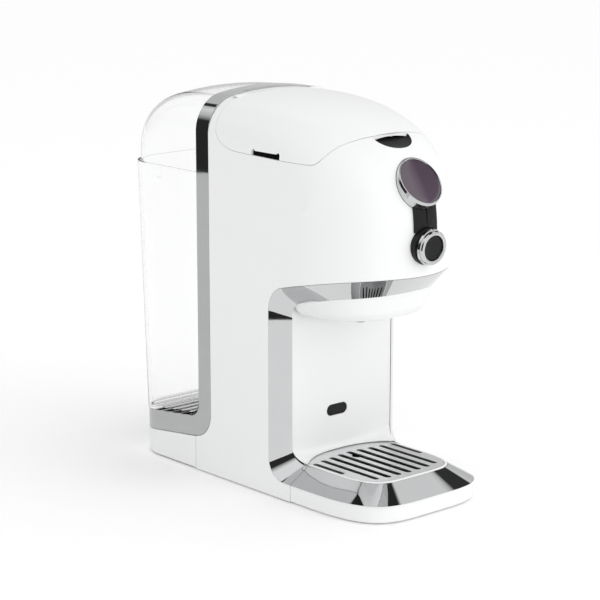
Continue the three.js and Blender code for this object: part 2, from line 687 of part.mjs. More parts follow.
// ----- drip tray unit -----
const trayPlan = (inset) =>
  wholePlan(HALF - 0.4 - inset, -151.4 + inset, [[-HALF + 0.4 + inset, TRAY_SPLIT - GAP - inset],
    [HALF - 0.4 - inset, TRAY_SPLIT - GAP - inset]], 8);
function basinPlan(inset) {
  const half = TRAY.half - GAP - inset;
  const rear = Array.from({ length: 9 }, (_, i) => {
    const x = -half + (2 * half * i) / 8;
    return [x, -40.2 - inset - 0.0055 * x * x];
  });
  return wholePlan(half, TRAY.innerFront + GAP + inset, rear, 8, [5, 5]);
}
const basin = plate(basinPlan(0), 1, TRAY.top);
const trayBody = plate(trayPlan(0), 1, TRAY.bezelBottom - GAP)
  .subtract(plate(trayPlan(2.4), TRAY.floor, 40))
  .add(basin)
  .subtract(plate(basinPlan(1.8), TRAY.top - 2.1, 40))
  .subtract(plate(basinPlan(3.4), TRAY.floor, 40));
add("drip_tray", trayBody, WHITE());

function grille() {
  let piece = plate(basinPlan(2.1), GRILLE.top - GRILLE.thick, GRILLE.top);
  const rearEnds = [-52.2, -53.1, -54.9, -56.6, -58.9];
  const frontEnds = [-124.5, -124.2, -123.6, -121, -93.9];
  const widths = [5.1, 5, 4.8, 4.4, 3.7];
  for (let k = -GRILLE.sideSlots; k <= GRILLE.sideSlots; k++) {
    const i = Math.abs(k);
    const r = widths[i] / 2;
    const slot = roundedSlot((rearEnds[i] - frontEnds[i]) / 2, r);
    const cut = new THREE.ExtrudeGeometry(slot, { depth: 12, bevelEnabled: false, curveSegments: 4 })
      .rotateZ(Math.PI / 2)
      .translate(k * GRILLE.pitch, (rearEnds[i] + frontEnds[i]) / 2, 20);
    piece = piece.subtract(solid(cut));
  }
  return piece.subtract(solid(rod(4.7, 20, 40, FLOAT.x, FLOAT.y, 20)));
}
add("drip_grille", grille(), STEEL());
add("drip_float", rod(FLOAT.r, 4, 24.6, FLOAT.x, FLOAT.y, 16), finish(0x9a2f2a, 0.5, 0));

// ----- tank band with its belt -----
const beltPlan = (inset) => rearPlan(HALF - inset, 30, BASE_REAR - inset, 31.5 - inset);
function bandArch(inset) {
  const flatRoof = { y: BAND_FRONT, z: BAND_TOP - inset, ny: 0, nz: 1 };
  const size = { shoulder: SHOULDER.rear - inset, crown: CROWN.rear };
  const from = { ...flatRoof, ...size, y: BAND_REAR + inset };
  const to = { ...flatRoof, ...size, y: BAND_FRONT - inset };
  return crownedForm([from, { ...from, y: BAND_FRONT + 7 }, to], HALF - inset, [BAND_FRONT + 7, 45]);
}
const archBlock = (inset) => {
  const roof = bandArch(inset);
  return roof.add(
    block(-HALF + inset, HALF - inset, BAND_FRONT - inset, BAND_REAR + inset, 30, 280),
  );
};
const bandForm = archBlock(0).add(plate(beltPlan(0), 5, 62)
  .intersect(block(-90, 90, BAND_FRONT, 160, 0, 62)));
const bandCore = archBlock(BAND_THICK).add(plate(beltPlan(BAND_THICK), 0, 63));
const ribbon = [
  [BAND_FRONT, 330],
  ...bandOuterBend,
  [150, beltLower(150)],
  [150, beltUpper(150)],
  ...bandInnerBend.slice().reverse(),
  [BAND_REAR, 330],
];
const band = bandForm.subtract(bandCore).intersect(crosswise(ribbon, 80));
add("tank_band", band, CHROME());

const rearPanel = archBlock(BAND_THICK + GAP)
  .intersect(block(-90, 90, 50.4, 52.4, 64, 320));
add("rear_panel", rearPanel, WHITE());

// ----- rear base under the tank -----
const baseLower = [
  [BELT.frontDrop + 1.6, 1.2],
  [150, 1.2],
  [150, beltLower(150) - GAP],
  [BELT.frontDrop + 1.6, beltLower(BELT.frontDrop + 1.6) - GAP],
];
const seat = [
  [BELT.frontDrop + 1.6, 8],
  [150, 8],
  [150, beltUpper(150)],
  [66, beltUpper(66)],
  [BELT.frontDrop + 1.6, beltUpper(66)],
];
const innerInset = BAND_THICK + GAP;
const baseForm = plate(beltPlan(0), 1, 60).intersect(crosswise(baseLower, 80))
  .add(plate(beltPlan(innerInset), 1, 60).intersect(crosswise(seat, 80)));
const hollowLine = (lift) => [[50, -1], [150, -1], [150, beltLower(150) + lift], [50, beltLower(50) + lift]];
const baseHollow = plate(beltPlan(WALL), -1, 60).intersect(crosswise(hollowLine(-GAP - WALL), 80))
  .add(plate(beltPlan(innerInset + WALL), -1, 60).intersect(crosswise(hollowLine(12.2), 80)));
const inletCut = block(-12.3, 12.3, 130, 150, 4.6, 17.4);
const socketCut = solid(rod(10.3, 20, 60, VALVE.x, VALVE.y));
const screwBoss = (x, y) => solid(sleeve(5.4, 1.9, 3.9, 16, x, y, 18));
const rearBase = baseForm.subtract(baseHollow).subtract(inletCut).subtract(socketCut)
  .add(screwBoss(-SCREW.x, SCREW.rear)).add(screwBoss(SCREW.x, SCREW.rear));
add("rear_base", rearBase, WHITE());

const seatZ = beltUpper(VALVE.y);
const socketProfile = [
  [0, seatZ - 14], [10, seatZ - 14], [10, seatZ - 1.6], [8, seatZ - 1.6], [8, seatZ - 11],
  [2, seatZ - 11], [2, seatZ - 7.6], [0, seatZ - 7.6],
];
add("valve_socket", turned(socketProfile, 24).translate(VALVE.x, VALVE.y, 0), BLACK());

const inletBody = block(-12, 12, 122, BASE_REAR - 0.4, 4.9, 17.1)
  .subtract(block(-9.6, 9.6, 130, 150, 6.6, 15.4))
  .add(solid(rod(1.2, 129, 139, -4.3, -11, 12).rotateX(-Math.PI / 2)))
  .add(solid(rod(1.2, 129, 139, 4.3, -11, 12).rotateX(-Math.PI / 2)));
add("mains_inlet", inletBody, BLACK());

// ----- floor, feet and screws -----
const floorPlan = rearPlan(HALF - WALL - 0.4, -37, BASE_REAR - WALL - 0.4, 29, 5);
let floor = plate(floorPlan, 1.4, 3.6);
const feet = [[-52, -28], [52, -28], [-46, 118], [46, 118]];
const screws = [SCREW.front, SCREW.rear].flatMap((y) => [[-SCREW.x, y], [SCREW.x, y]]);
for (const [x, y] of screws) floor = floor.subtract(solid(rod(2, 0, 6, x, y, 10)));
for (const [x, y] of feet) floor = floor.subtract(solid(rod(2.2, 0, 6, x, y, 12)));
add("floor_plate", floor, GREY());
feet.forEach(([x, y], i) => {
  const foot = [[0, 0], [8, 0], [8.4, 0.5], [8.4, 1.1], [1.9, 1.1], [1.9, 4.6], [0, 4.6]];
  add("foot_" + (i + 1), turned(foot, 14).translate(x, y, 0), RUBBER());
});
screws.forEach(([x, y], i) => {
  const screw = [[0, 0.4], [3.4, 0.4], [3.4, 1.1], [1.6, 1.1], [1.6, 9], [0, 9]];
  add("floor_screw_" + (i + 1), turned(screw, 10).translate(x, y, 0), STEEL());
});
[-44, 44].forEach((x, i) => {
  add("tray_foot_" + (i + 1), rod(6, 0, 0.7, x, -112, 14), RUBBER());
});

// ----- water tank -----
function tankRing(z, inset) {
  const share = (z - 40) / (TANK.rim - 40);
  const rear = blend(TANK.foot, TANK.rear, share) - inset;
  const plan = rearPlan(HALF - 0.2 - inset, TANK.front + inset, rear, TANK.corner - inset, 6);
  return plan.map(([x, y]) => new THREE.Vector3(x, y, z));
}
function tankSide(lift) {
  const corner = [TANK.front + lift, beltUpper(TANK.front) + 0.4 + lift];
  const bend = filletPoints(corner, [0, 1], [1, -BELT.slope], 11, 5);
  return [
    [TANK.front - 5, 400], [TANK.front - 5, bend[0][1]], ...bend,
    [170, beltUpper(170) + 0.4 + lift], [170, 400],
  ];
}
const tankOuter = loft([tankRing(25, 0), tankRing(TANK.rim, 0)]).intersect(crosswise(tankSide(0), 80));
const tankInner = loft([tankRing(20, TANK.wall), tankRing(TANK.rim + 5, TANK.wall)])
  .intersect(crosswise(tankSide(TANK.wall), 80));
const tankShell = tankOuter.subtract(tankInner);
const boss = solid(rod(7.4, seatZ - 6.4, seatZ + 3, VALVE.x, VALVE.y))
  .subtract(solid(rod(4.4, seatZ - 8, seatZ + 9, VALVE.x, VALVE.y)));
const tank = tankShell
  .subtract(solid(rod(7, seatZ - 8, seatZ + 9, VALVE.x, VALVE.y)))
  .add(boss);
add("water_tank", tank, CLEAR());

const plungerProfile = [
  [0, seatZ - 6.8], [1.8, seatZ - 6.8], [1.8, seatZ + 3.3], [6.2, seatZ + 3.3], [6.2, seatZ + 5],
  [1.4, seatZ + 5], [1.4, seatZ + 11], [0, seatZ + 11],
];
add("tank_valve", turned(plungerProfile, 16).translate(VALVE.x, VALVE.y, 0), BLACK());
const springTurns = 4;
const springSteps = springTurns * 8;
const springPoints = Array.from({ length: springSteps + 1 }, (_, i) => {
  const a = (2 * Math.PI * springTurns * i) / springSteps;
  return [3.4 * Math.cos(a) + VALVE.x, 3.4 * Math.sin(a) + VALVE.y, seatZ + 5.9 + (8.6 * i) / springSteps];
});
add("valve_spring", along(springPoints, 0.5, springSteps, 5), STEEL());
const cageProfile = [
  [7.9, seatZ + 4.2], [9.4, seatZ + 4.2], [9.4, seatZ + 17], [0, seatZ + 17], [0, seatZ + 15.2],
  [7.9, seatZ + 15.2], [7.9, seatZ + 4.2],
];
const cageSlots = [0, 1, 2].map((i) =>
  solid(new THREE.BoxGeometry(30, 5, 7).rotateZ((i * Math.PI) / 3).translate(VALVE.x, VALVE.y, seatZ + 10)));
const cage = cageSlots.reduce(
  (piece, cut) => piece.subtract(cut),
  solid(turned(cageProfile, 24).translate(VALVE.x, VALVE.y, 0)),
);
add("valve_cage", cage, finish(0xdfe3e4, 0.3, 0));

function tankDome(inset) {
  const shape = { yStart: TANK.front, yEnd: TANK.rear, top: 312.6, foot: TANK.rim + 0.4, power: 2.7 };
  const crown = { rear: CROWN.rear, front: 0.0012 };
  const shoulder = { rear: SHOULDER.rear, front: TANK.corner };
  const profile = archProfile({ ...shape, steps: 9, inset, shoulder, crown });
  profile[0] = { ...profile[0], y: TANK.front + inset };
  const foot = { ...profile.at(-1), z: TANK.rim + 0.4 - (inset ? 4 : 0) };
  return crownedForm([...profile.slice(0, -1), foot], HALF - 0.2 - inset, [TANK.front + inset, foot.z]);
}
const dome = tankDome(0).subtract(tankDome(2));
add("tank_lid", dome, CLEAR());
add("tank_lid_catch", block(-HALF + 2.8, -HALF + 4.5, 104, 109, 237.5, 248.1), CLEAR());

// ----- brewing parts inside the head -----
const deckLine = plate([[-60, -76], [-40, -103], [40, -103], [60, -76], [60, 26], [-60, 26]], 259.4, 261.4);
add("brew_deck", deckLine.subtract(solid(rod(23.4, 250, 270, 0, POD.y, 24))), GREY());
const holderProfile = [
  [0, 236], [17, 236], [19, 260.6], [25, 262], [25, 263.4], [POD.rim, 263.4], [POD.foot, 238], [0, 238],
];
add("pod_holder", turned(holderProfile, 24).translate(0, POD.y, 0), BLACK());
const chamberProfile = [
  [5.4, 225], [9, 225], [23, 232], [23, 259], [20.4, 259], [20.4, 234], [8, 228.6], [5.4, 228.6], [5.4, 225],
];
add("brew_chamber", turned(chamberProfile, 20).translate(0, POD.y, 0), STEEL());
const pressProfile = [
  [0, 264.4], [2.2, 266], [16, 266], [16, 270], [9, 272], [9, 296.8], [0, 296.8],
];
add("piercing_head", turned(pressProfile, 20).translate(0, POD.y, 0), STEEL());

// ----- water circuit inside the column -----
add("chassis_frame", block(-58, 58, 24, 26.4, 4, 230).subtract(block(-40, 40, 20, 30, 120, 170))
  .subtract(block(-38, -18, 20, 30, 0, 13)), GREY());
add("water_pump", rod(17, 22, 74, -30, 2, 20), GREY());
add("heater_block", block(-26, 26, -20, 4, 176, 222), STEEL());
add("pump_bracket", block(-52, -8, 20.4, 23.6, 30, 60), STEEL());
add("hose_pump_to_heater", along([[-30, 2, 74.6], [-30, 2, 100], [-16, -6, 140], [-12, -8, 175.4]], 3, 10, 8),
  finish(0xe6e2d6, 0.4, 0));
const chamberRoute = [[0, -8, 222.6], [0, -10, 236], [6, -24, 244], [10, -40.4, 246]];
add("hose_heater_to_chamber", along(chamberRoute, 2.4, 10, 8), finish(0xe6e2d6, 0.4, 0));
const supplyRoute = [
  [0, 92, seatZ - 15], [0, 92, 21], [0, 84, 11], [-8, 60, 8.5], [-26, 30, 8.5], [-30, 12, 9], [-30, 2.6, 14],
  [-30, 2, 21.4],
];
add("hose_tank_to_pump", along(supplyRoute, 3, 20, 8), finish(0xe6e2d6, 0.4, 0));

export default machine;
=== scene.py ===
"""Looks of the pod coffee machine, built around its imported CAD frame."""

import functools
import json
from math import acos, asin, atan2, copysign, cos, dist, hypot, pi, radians, sin, sqrt, tan

import bpy
import bmesh
import numpy as np
from mathutils import Matrix, Vector


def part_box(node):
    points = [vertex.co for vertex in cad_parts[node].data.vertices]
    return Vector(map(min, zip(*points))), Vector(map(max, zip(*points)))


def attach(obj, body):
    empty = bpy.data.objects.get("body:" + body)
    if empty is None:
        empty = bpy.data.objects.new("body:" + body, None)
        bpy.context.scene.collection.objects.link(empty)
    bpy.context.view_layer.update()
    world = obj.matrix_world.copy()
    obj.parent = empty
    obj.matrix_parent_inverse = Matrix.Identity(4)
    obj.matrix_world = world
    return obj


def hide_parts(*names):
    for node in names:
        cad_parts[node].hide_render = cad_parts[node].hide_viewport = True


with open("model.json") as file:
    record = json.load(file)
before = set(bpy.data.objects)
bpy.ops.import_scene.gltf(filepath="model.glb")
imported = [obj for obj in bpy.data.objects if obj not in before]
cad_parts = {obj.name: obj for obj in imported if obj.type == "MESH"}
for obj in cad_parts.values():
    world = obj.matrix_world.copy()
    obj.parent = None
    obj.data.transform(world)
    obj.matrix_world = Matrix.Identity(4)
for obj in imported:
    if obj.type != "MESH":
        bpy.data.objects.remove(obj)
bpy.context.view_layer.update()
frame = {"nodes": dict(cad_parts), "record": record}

# ---------- sizes, in millimetres, from the frame ----------
MM = 0.001


def span(node):
    low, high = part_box(node)
    return np.array(low) / MM, np.array(high) / MM


def centre_of(node):
    return sum(span(node)) / 2


CASING_LOW, CASING_HIGH = span("main_casing")
BAND_LOW, BAND_HIGH = span("tank_band")
TRIM_HIGH = span("bright_trim")[1]
BEZEL_LOW, BEZEL_HIGH = span("tray_bezel")
TANK_LOW, TANK_HIGH = span("water_tank")
COVER_HIGH = span("tank_lid")[1]
GRILLE_LOW, GRILLE_HIGH = span("drip_grille")
TRAY_LOW, TRAY_HIGH = span("drip_tray")
BASE_LOW = span("rear_base")[0]
PANEL_HIGH = span("column_panel")[1]
FLOAT_LOW, FLOAT_HIGH = span("drip_float")
NOZZLE_LOW, NOZZLE_HIGH = span("spout_nozzle")

HALF = CASING_HIGH[0]
WALL = 2.4
GAP = 0.3
BODY_TOP = CASING_HIGH[2]
BODY_FRONT = CASING_LOW[1]
BODY_FOOT = CASING_LOW[2]
BAND_FRONT = BAND_LOW[1]
BAND_TOP = BAND_HIGH[2]
BAND_REAR = BAND_FRONT + 15.3
BAND_THICK = 2.4
BODY_REAR = BAND_FRONT - GAP
BASE_REAR = BAND_HIGH[1]
BASE_CORNER = 31.5
NOSE_Z = 209.0
NOSE_UNDERCUT = 0.0015
NOSE_POWER = 2.8
SHOULDER = (23.4, 30.0)
CROWN = (0.0019, 0.0085)
TRAY_SPLIT = BEZEL_HIGH[1] + GAP
TRAY_FRONT = BEZEL_LOW[1]
BEZEL_BOTTOM = BEZEL_LOW[2]
BEZEL_TOP = 26.2
SIDE_END = -66.4
COLUMN_FRONT = TRIM_HIGH[1]
INNER_HALF = PANEL_HIGH[0] + GAP
INNER_FRONT = -46.0
HEAD_INNER_FRONT = -117.4
RIM_HALF = 47.2
RIM_FRONT = -133.0
POD_Y = centre_of("spout_nozzle")[1]
VALVE = centre_of("valve_socket")[:2]
HINGE = centre_of("lid_hinge_pin")[1:]
HINGE_R = 3.2
HINGE_BORE = 1.25

BODIES = frame["record"]["behaviour"]["bodies"]
BODY_OF = {node: body for body, nodes in BODIES.items() for node in nodes}


def add_object(name, data):
    obj = bpy.data.objects.new(name, data)
    bpy.context.scene.collection.objects.link(obj)
    return obj


def final_mesh(obj):
    shown = bpy.context.evaluated_depsgraph_get()
    return bpy.data.meshes.new_from_object(obj.evaluated_get(shown))


# ---------- closed forms that can be joined, cut and intersected ----------
class Form:
    """A closed mesh in millimetres."""

    def __init__(self, verts, faces):
        mesh = bpy.data.meshes.new("form")
        mesh.from_pydata([tuple(map(float, v)) for v in verts], [], faces)
        work = bmesh.new()
        work.from_mesh(mesh)
        bmesh.ops.remove_doubles(work, verts=work.verts, dist=1e-4)
        bmesh.ops.recalc_face_normals(work, faces=work.faces)
        work.to_mesh(mesh)
        work.free()
        self.mesh = mesh

    def joined(self, other, operation):
        pair = [add_object("form", form.mesh) for form in (self, other)]
        modifier = pair[0].modifiers.new("join", "BOOLEAN")
        modifier.operation = operation
        modifier.solver = "MANIFOLD"
        modifier.object = pair[1]
        mesh = final_mesh(pair[0])
        for obj in pair:
            bpy.data.objects.remove(obj)
        if not mesh.polygons:
            raise ValueError("a boolean left nothing")
        result = object.__new__(Form)
        result.mesh = mesh
        return result

    def __add__(self, other):
        return self.joined(other, "UNION")

    def __sub__(self, other):
        return self.joined(other, "DIFFERENCE")

    def __and__(self, other):
        return self.joined(other, "INTERSECT")


def grid_faces(rows, columns, closed=False):
    faces = []
    for i in range(rows - 1):
        for j in range(columns if closed else columns - 1):
            k = (j + 1) % columns
            faces.append((i * columns + j, i * columns + k, (i + 1) * columns + k, (i + 1) * columns + j))
    return faces


def loft(rings):
    """A closed skin through rings of equal length, capped with one face at each end."""
    count = len(rings[0])
    faces = grid_faces(len(rings), count, closed=True)
    faces.append(tuple(range(count)))
    last = (len(rings) - 1) * count
    faces.append(tuple(range(last, last + count)))
    return Form(np.vstack(rings), faces)


def prism_z(outline, z0, z1):
    flat = np.array(outline)
    return loft([np.column_stack([flat, np.full(len(flat), z)]) for z in (z0, z1)])


def prism_x(outline, x0=-80, x1=80):
    flat = np.array(outline)
    return loft([np.column_stack([np.full(len(flat), x), flat]) for x in (x0, x1)])


def prism_y(outline, y0, y1):
    flat = np.array(outline)
    columns = lambda y: np.column_stack([flat[:, 0], np.full(len(flat), y), flat[:, 1]])
    return loft([columns(y0), columns(y1)])


def block(x0, x1, y0, y1, z0, z1):
    return prism_z([(x0, y0), (x1, y0), (x1, y1), (x0, y1)], z0, z1)


def lathe(profile, segments=96):
    """Turns pairs of radius and height about the local Z axis. The profile closes on itself."""
    points = np.array(profile, float)
    angles = np.linspace(0, 2 * pi, segments, endpoint=False)
    verts = []
    for angle in angles:
        verts.append(np.column_stack([points[:, 0] * cos(angle),
                                      points[:, 0] * sin(angle), points[:, 1]]))
    count = len(points)
    faces = []
    for i in range(segments):
        k = (i + 1) % segments
        for j in range(count):
            m = (j + 1) % count
            if points[j, 0] < 1e-6 and points[m, 0] < 1e-6:
                continue
            faces.append((i * count + j, k * count + j, k * count + m, i * count + m))
    return Form(np.vstack(verts), faces)


def placed(form, matrix):
    form.mesh.transform(matrix)
    return form


def turned(angle, axis, x=0.0, y=0.0, z=0.0):
    """A turn about an axis, then a move."""
    return Matrix.Translation((x, y, z)) @ Matrix.Rotation(angle, 4, axis)


def lathe_at(profile, segments, x, y):
    return placed(lathe(profile, segments), Matrix.Translation((x, y, 0)))


def circle(r, x, y, steps):
    return [(x + r * cos(t), y + r * sin(t)) for t in np.linspace(0, 2 * pi, steps, endpoint=False)]


def skin(grids, rows, columns):
    """A thin closed sheet between two grids of points."""
    count = rows * columns
    faces = grid_faces(rows, columns)
    faces += [tuple(i + count for i in f) for f in faces]
    last = (rows - 1) * columns
    border = [*range(0, last, columns), *range(last, count), *range(last - 1, columns - 2, -columns),
              *range(columns - 2, 0, -1)]
    for a, b in zip(border, border[1:] + border[:1]):
        faces.append((a, b, b + count, a + count))
    return Form(np.vstack([np.array(grid).reshape(-1, 3) for grid in grids]), faces)


def rod(r, z0, z1, x=0.0, y=0.0, segments=64):
    return lathe_at([(0, z0), (r, z0), (r, z1), (0, z1)], segments, x, y)


def cross_rod(r, x0, x1, y, z, segments=48):
    return placed(rod(r, x0, x1, segments=segments), turned(pi / 2, "Y", 0, y, z))


def facing_front(form, place):
    """Points the local Z axis out of the front and tilts it up; place is (y, z, tilt in degrees)."""
    y, z, tilt = place
    return placed(form, turned(pi / 2 - radians(tilt), "X", 0, y, z))


def sheet_form(outlines, z0, z1, bevel, rounding=3):
    """A plate in the XY plane with rounded edges. The first outline is its rim, the others are holes."""
    curve = bpy.data.curves.new("sheet", "CURVE")
    curve.dimensions = "2D"
    curve.fill_mode = "BOTH"
    curve.extrude = (z1 - z0) / 2 - bevel
    curve.bevel_depth = bevel
    curve.bevel_resolution = rounding
    curve.offset = -bevel
    for outline in outlines:
        spline = curve.splines.new("POLY")
        spline.points.add(len(outline) - 1)
        for point, (x, y) in zip(spline.points, outline):
            point.co = (x, y, 0, 1)
        spline.use_cyclic_u = True
    obj = add_object("sheet", curve)
    mesh = final_mesh(obj)
    verts = [v.co for v in mesh.vertices]
    faces = [tuple(p.vertices) for p in mesh.polygons]
    bpy.data.objects.remove(obj)
    return placed(Form(verts, faces), Matrix.Translation((0, 0, (z0 + z1) / 2)))


def tube(points, r, sides=20, steps=8):
    """A round rod that follows a smooth curve through the points."""
    knots = np.array(points, float)
    padded = np.vstack([2 * knots[0] - knots[1], knots, 2 * knots[-1] - knots[-2]])
    path = []
    for i in range(1, len(padded) - 2):
        a, b, c, d = padded[i - 1:i + 3]
        for t in np.linspace(0, 1, steps, endpoint=False):
            path.append(0.5 * (2 * b + (c - a) * t + (2 * a - 5 * b + 4 * c - d) * t * t
                               + (3 * b - a - 3 * c + d) * t ** 3))
    path.append(padded[-2])
    path = np.array(path)
    tangents = np.gradient(path, axis=0)
    side = np.array([0.31, 0.52, 0.79])
    rings = []
    angles = np.linspace(0, 2 * pi, sides, endpoint=False)[:, None]
    for centre, tangent in zip(path, tangents):
        tangent = tangent / np.linalg.norm(tangent)
        side = side - tangent * (side @ tangent)
        side /= np.linalg.norm(side)
        other = np.cross(tangent, side)
        rings.append(centre + r * (np.cos(angles) * side + np.sin(angles) * other))
    return loft(rings)


# ---------- curves ----------
def smooth(t):
    return t * t * (3 - 2 * t)


def blend(a, b, t):
    return a + (b - a) * t


def super_quarter(a, b, power_a, power_b, steps):
    """One quarter of a superellipse, from the full first axis to the full second axis."""
    angles = np.linspace(0, pi / 2, steps + 1)
    u = a * np.abs(np.cos(angles)) ** (2 / power_a)
    v = b * np.sin(angles) ** (2 / power_b)
    u[-1] = 0.0
    return list(zip(u, v))


def fillet(corner, toward_a, toward_b, r, steps=24):
    """The arc that rounds the corner between two directions of a plane."""
    corner = np.array(corner, float)
    a = np.array(toward_a, float) / np.linalg.norm(toward_a)
    b = np.array(toward_b, float) / np.linalg.norm(toward_b)
    reach = r / tan(acos(a @ b) / 2)
    middle = (a + b) / np.linalg.norm(a + b)
    centre = corner + middle * hypot(r, reach)
    start = corner + a * reach - centre
    end = corner + b * reach - centre
    first = atan2(start[1], start[0])
    sweep = (atan2(end[1], end[0]) - first + pi) % (2 * pi) - pi
    angles = first + sweep * np.linspace(0, 1, steps + 1)
    return [tuple(centre + r * np.array([cos(t), sin(t)])) for t in angles]


def bezier(a, b, c, d, steps=20):
    t = np.linspace(0, 1, steps + 1)[1:, None]
    a, b, c, d = (np.array(p, float) for p in (a, b, c, d))
    curve = a * (1 - t) ** 3 + 3 * b * t * (1 - t) ** 2 + 3 * c * t * t * (1 - t) + d * t ** 3
    return [tuple(p) for p in curve]


def rounded(points, radii, steps=4, turned=True):
    """Rounds the corners of a closed outline; a turned one keeps its corners on the axis."""
    points = [np.array(p, float) for p in points]
    radii = [radii] * len(points) if np.isscalar(radii) else radii
    result = []
    for i, (corner, r) in enumerate(zip(points, radii)):
        before = points[i - 1] - corner
        after = points[(i + 1) % len(points)] - corner
        if r == 0 or (turned and corner[0] < 1e-6):
            result.append(tuple(corner))
            continue
        result.extend(fillet(corner, before, after, r, steps))
    return result


def head_edge(y):
    return 184.6 - 13.6 * min(max((y + 133.9) / 84, 0), 1.2) ** 1.55


def inner_head_edge(y):
    return 169 - 10 * min(max((y - HEAD_INNER_FRONT) / 57.4, 0), 1.3) ** 1.5


def belt_lower(y):
    return 29 - 0.11 * (y - 57.2)


def belt_upper(y):
    return 44.6 - 0.11 * (y - 65.8)


EDGE_SLOPE = (-1, 0.25)
OUTER_TOP = fillet((COLUMN_FRONT, 167), EDGE_SLOPE, (0, -1), 20.8)
OUTER_FOOT = fillet((COLUMN_FRONT, BEZEL_BOTTOM), (0, 1), (-1, 0), 17)
INNER_TOP = fillet((INNER_FRONT, 155.4), EDGE_SLOPE, (0, -1), 12)
INNER_FOOT = fillet((INNER_FRONT, BEZEL_TOP), (0, 1), (-1, 0), 12)
BAND_OUTER_BEND = fillet((BAND_FRONT, 33.5), (0, 1), (1, -0.22), 22)
BAND_INNER_BEND = fillet((BAND_REAR, 46), (0, 1), (1, -0.11), 12)


# ---------- the crowned form of the head, the band and the tank lid ----------
def arch_profile(y_start, y_end, top, foot, power, steps, inset, shoulder, crown):
    reach = abs(y_end - y_start)
    rise = top - foot
    way = copysign(1, y_end - y_start)
    stations = []
    for i, (up, out) in enumerate(super_quarter(rise, reach, power, power, steps)):
        gy = (out / reach) ** (power - 1) / reach
        gz = (up / rise) ** (power - 1) / rise
        size = hypot(gy, gz)
        ny, nz = way * gy / size, gz / size
        share = smooth(i / steps)
        stations.append([y_start + way * out - ny * inset, foot + up - nz * inset, ny, nz,
                         blend(*shoulder, share) - inset, blend(*crown, share)])
    return stations


def section_row(station, half, flat_steps=24, round_steps=28):
    """Right half of a section: a crowned roof, then a rounded shoulder that ends on the flank."""
    y, z, ny, nz, shoulder, crown = station
    bend = np.linspace(0, pi / 2, round_steps + 1)[1:]
    x = np.concatenate([np.linspace(0, half - shoulder, flat_steps + 1),
                        half - shoulder * (1 - np.sin(bend))])
    depth = np.concatenate([np.zeros(flat_steps + 1), shoulder * (1 - np.cos(bend))]) + crown * x * x
    return np.column_stack([x, y - ny * depth, z - nz * depth])


def crowned_form(profile, half, hub):
    rows = []
    for station in profile:
        right = section_row(station, half)
        rows.append(np.vstack([right[:0:-1] * (-1, 1, 1), right]))
    count = len(rows[0])
    last = (len(rows) - 1) * count
    left, right = len(rows) * count, len(rows) * count + 1
    verts = np.vstack(rows + [[(-half, *hub), (half, *hub)]])
    faces = grid_faces(len(rows), count)
    faces.append((left, *[i * count for i in range(len(rows))]))
    faces.append((right, *[i * count + count - 1 for i in range(len(rows))]))
    faces.append((*range(count), right, left))
    faces.append((*range(last, last + count), right, left))
    return Form(verts, faces)


def front_line(z):
    return BODY_FRONT + NOSE_UNDERCUT * max(NOSE_Z - z, 0) ** 2


def head_profile(inset):
    return arch_profile(BAND_FRONT, BODY_FRONT, BODY_TOP, NOSE_Z, NOSE_POWER, 96, inset, SHOULDER, CROWN)


@functools.lru_cache(None)
def head_form(inset, low=160.0):
    profile = head_profile(inset)
    rear = list(profile[0])
    rear[0] = BODY_REAR + (20 if inset > 0 else 0)
    profile[0] = list(profile[0])
    profile[0][0] = BODY_REAR - 2
    for z in np.linspace(NOSE_Z, 160, 17)[1:]:
        profile.append([front_line(z) + inset, z, *profile[96][2:]])
    if low < 160:
        profile.append([front_line(160) + inset, low, *profile[96][2:]])
    return crowned_form([rear] + profile, HALF - inset, (rear[0], profile[-1][1]))


def head_layer(outside, inside):
    return head_form(outside, BODY_FOOT) - head_form(inside, BODY_FOOT)


def on_head(x, y, depth):
    """A point under the roof of the head, at a depth below its surface."""
    stations = np.array(head_profile(0.0))
    drop = stations[:, 5] * x * x + depth
    ys = stations[:, 0] - stations[:, 2] * drop
    zs = stations[:, 1] - stations[:, 3] * drop
    return x, y, np.interp(-y, -ys, zs)


# ---------- materials ----------
def add_node(tree, kind, inputs, **settings):
    """Adds a shader node. Each of its inputs is a value or the output of another node."""
    node = tree.nodes.new("ShaderNode" + kind)
    for name, value in settings.items():
        setattr(node, name, value)
    for name, value in inputs.items():
        if isinstance(value, bpy.types.NodeSocket):
            tree.links.new(value, node.inputs[name])
        else:
            node.inputs[name].default_value = value
    return node


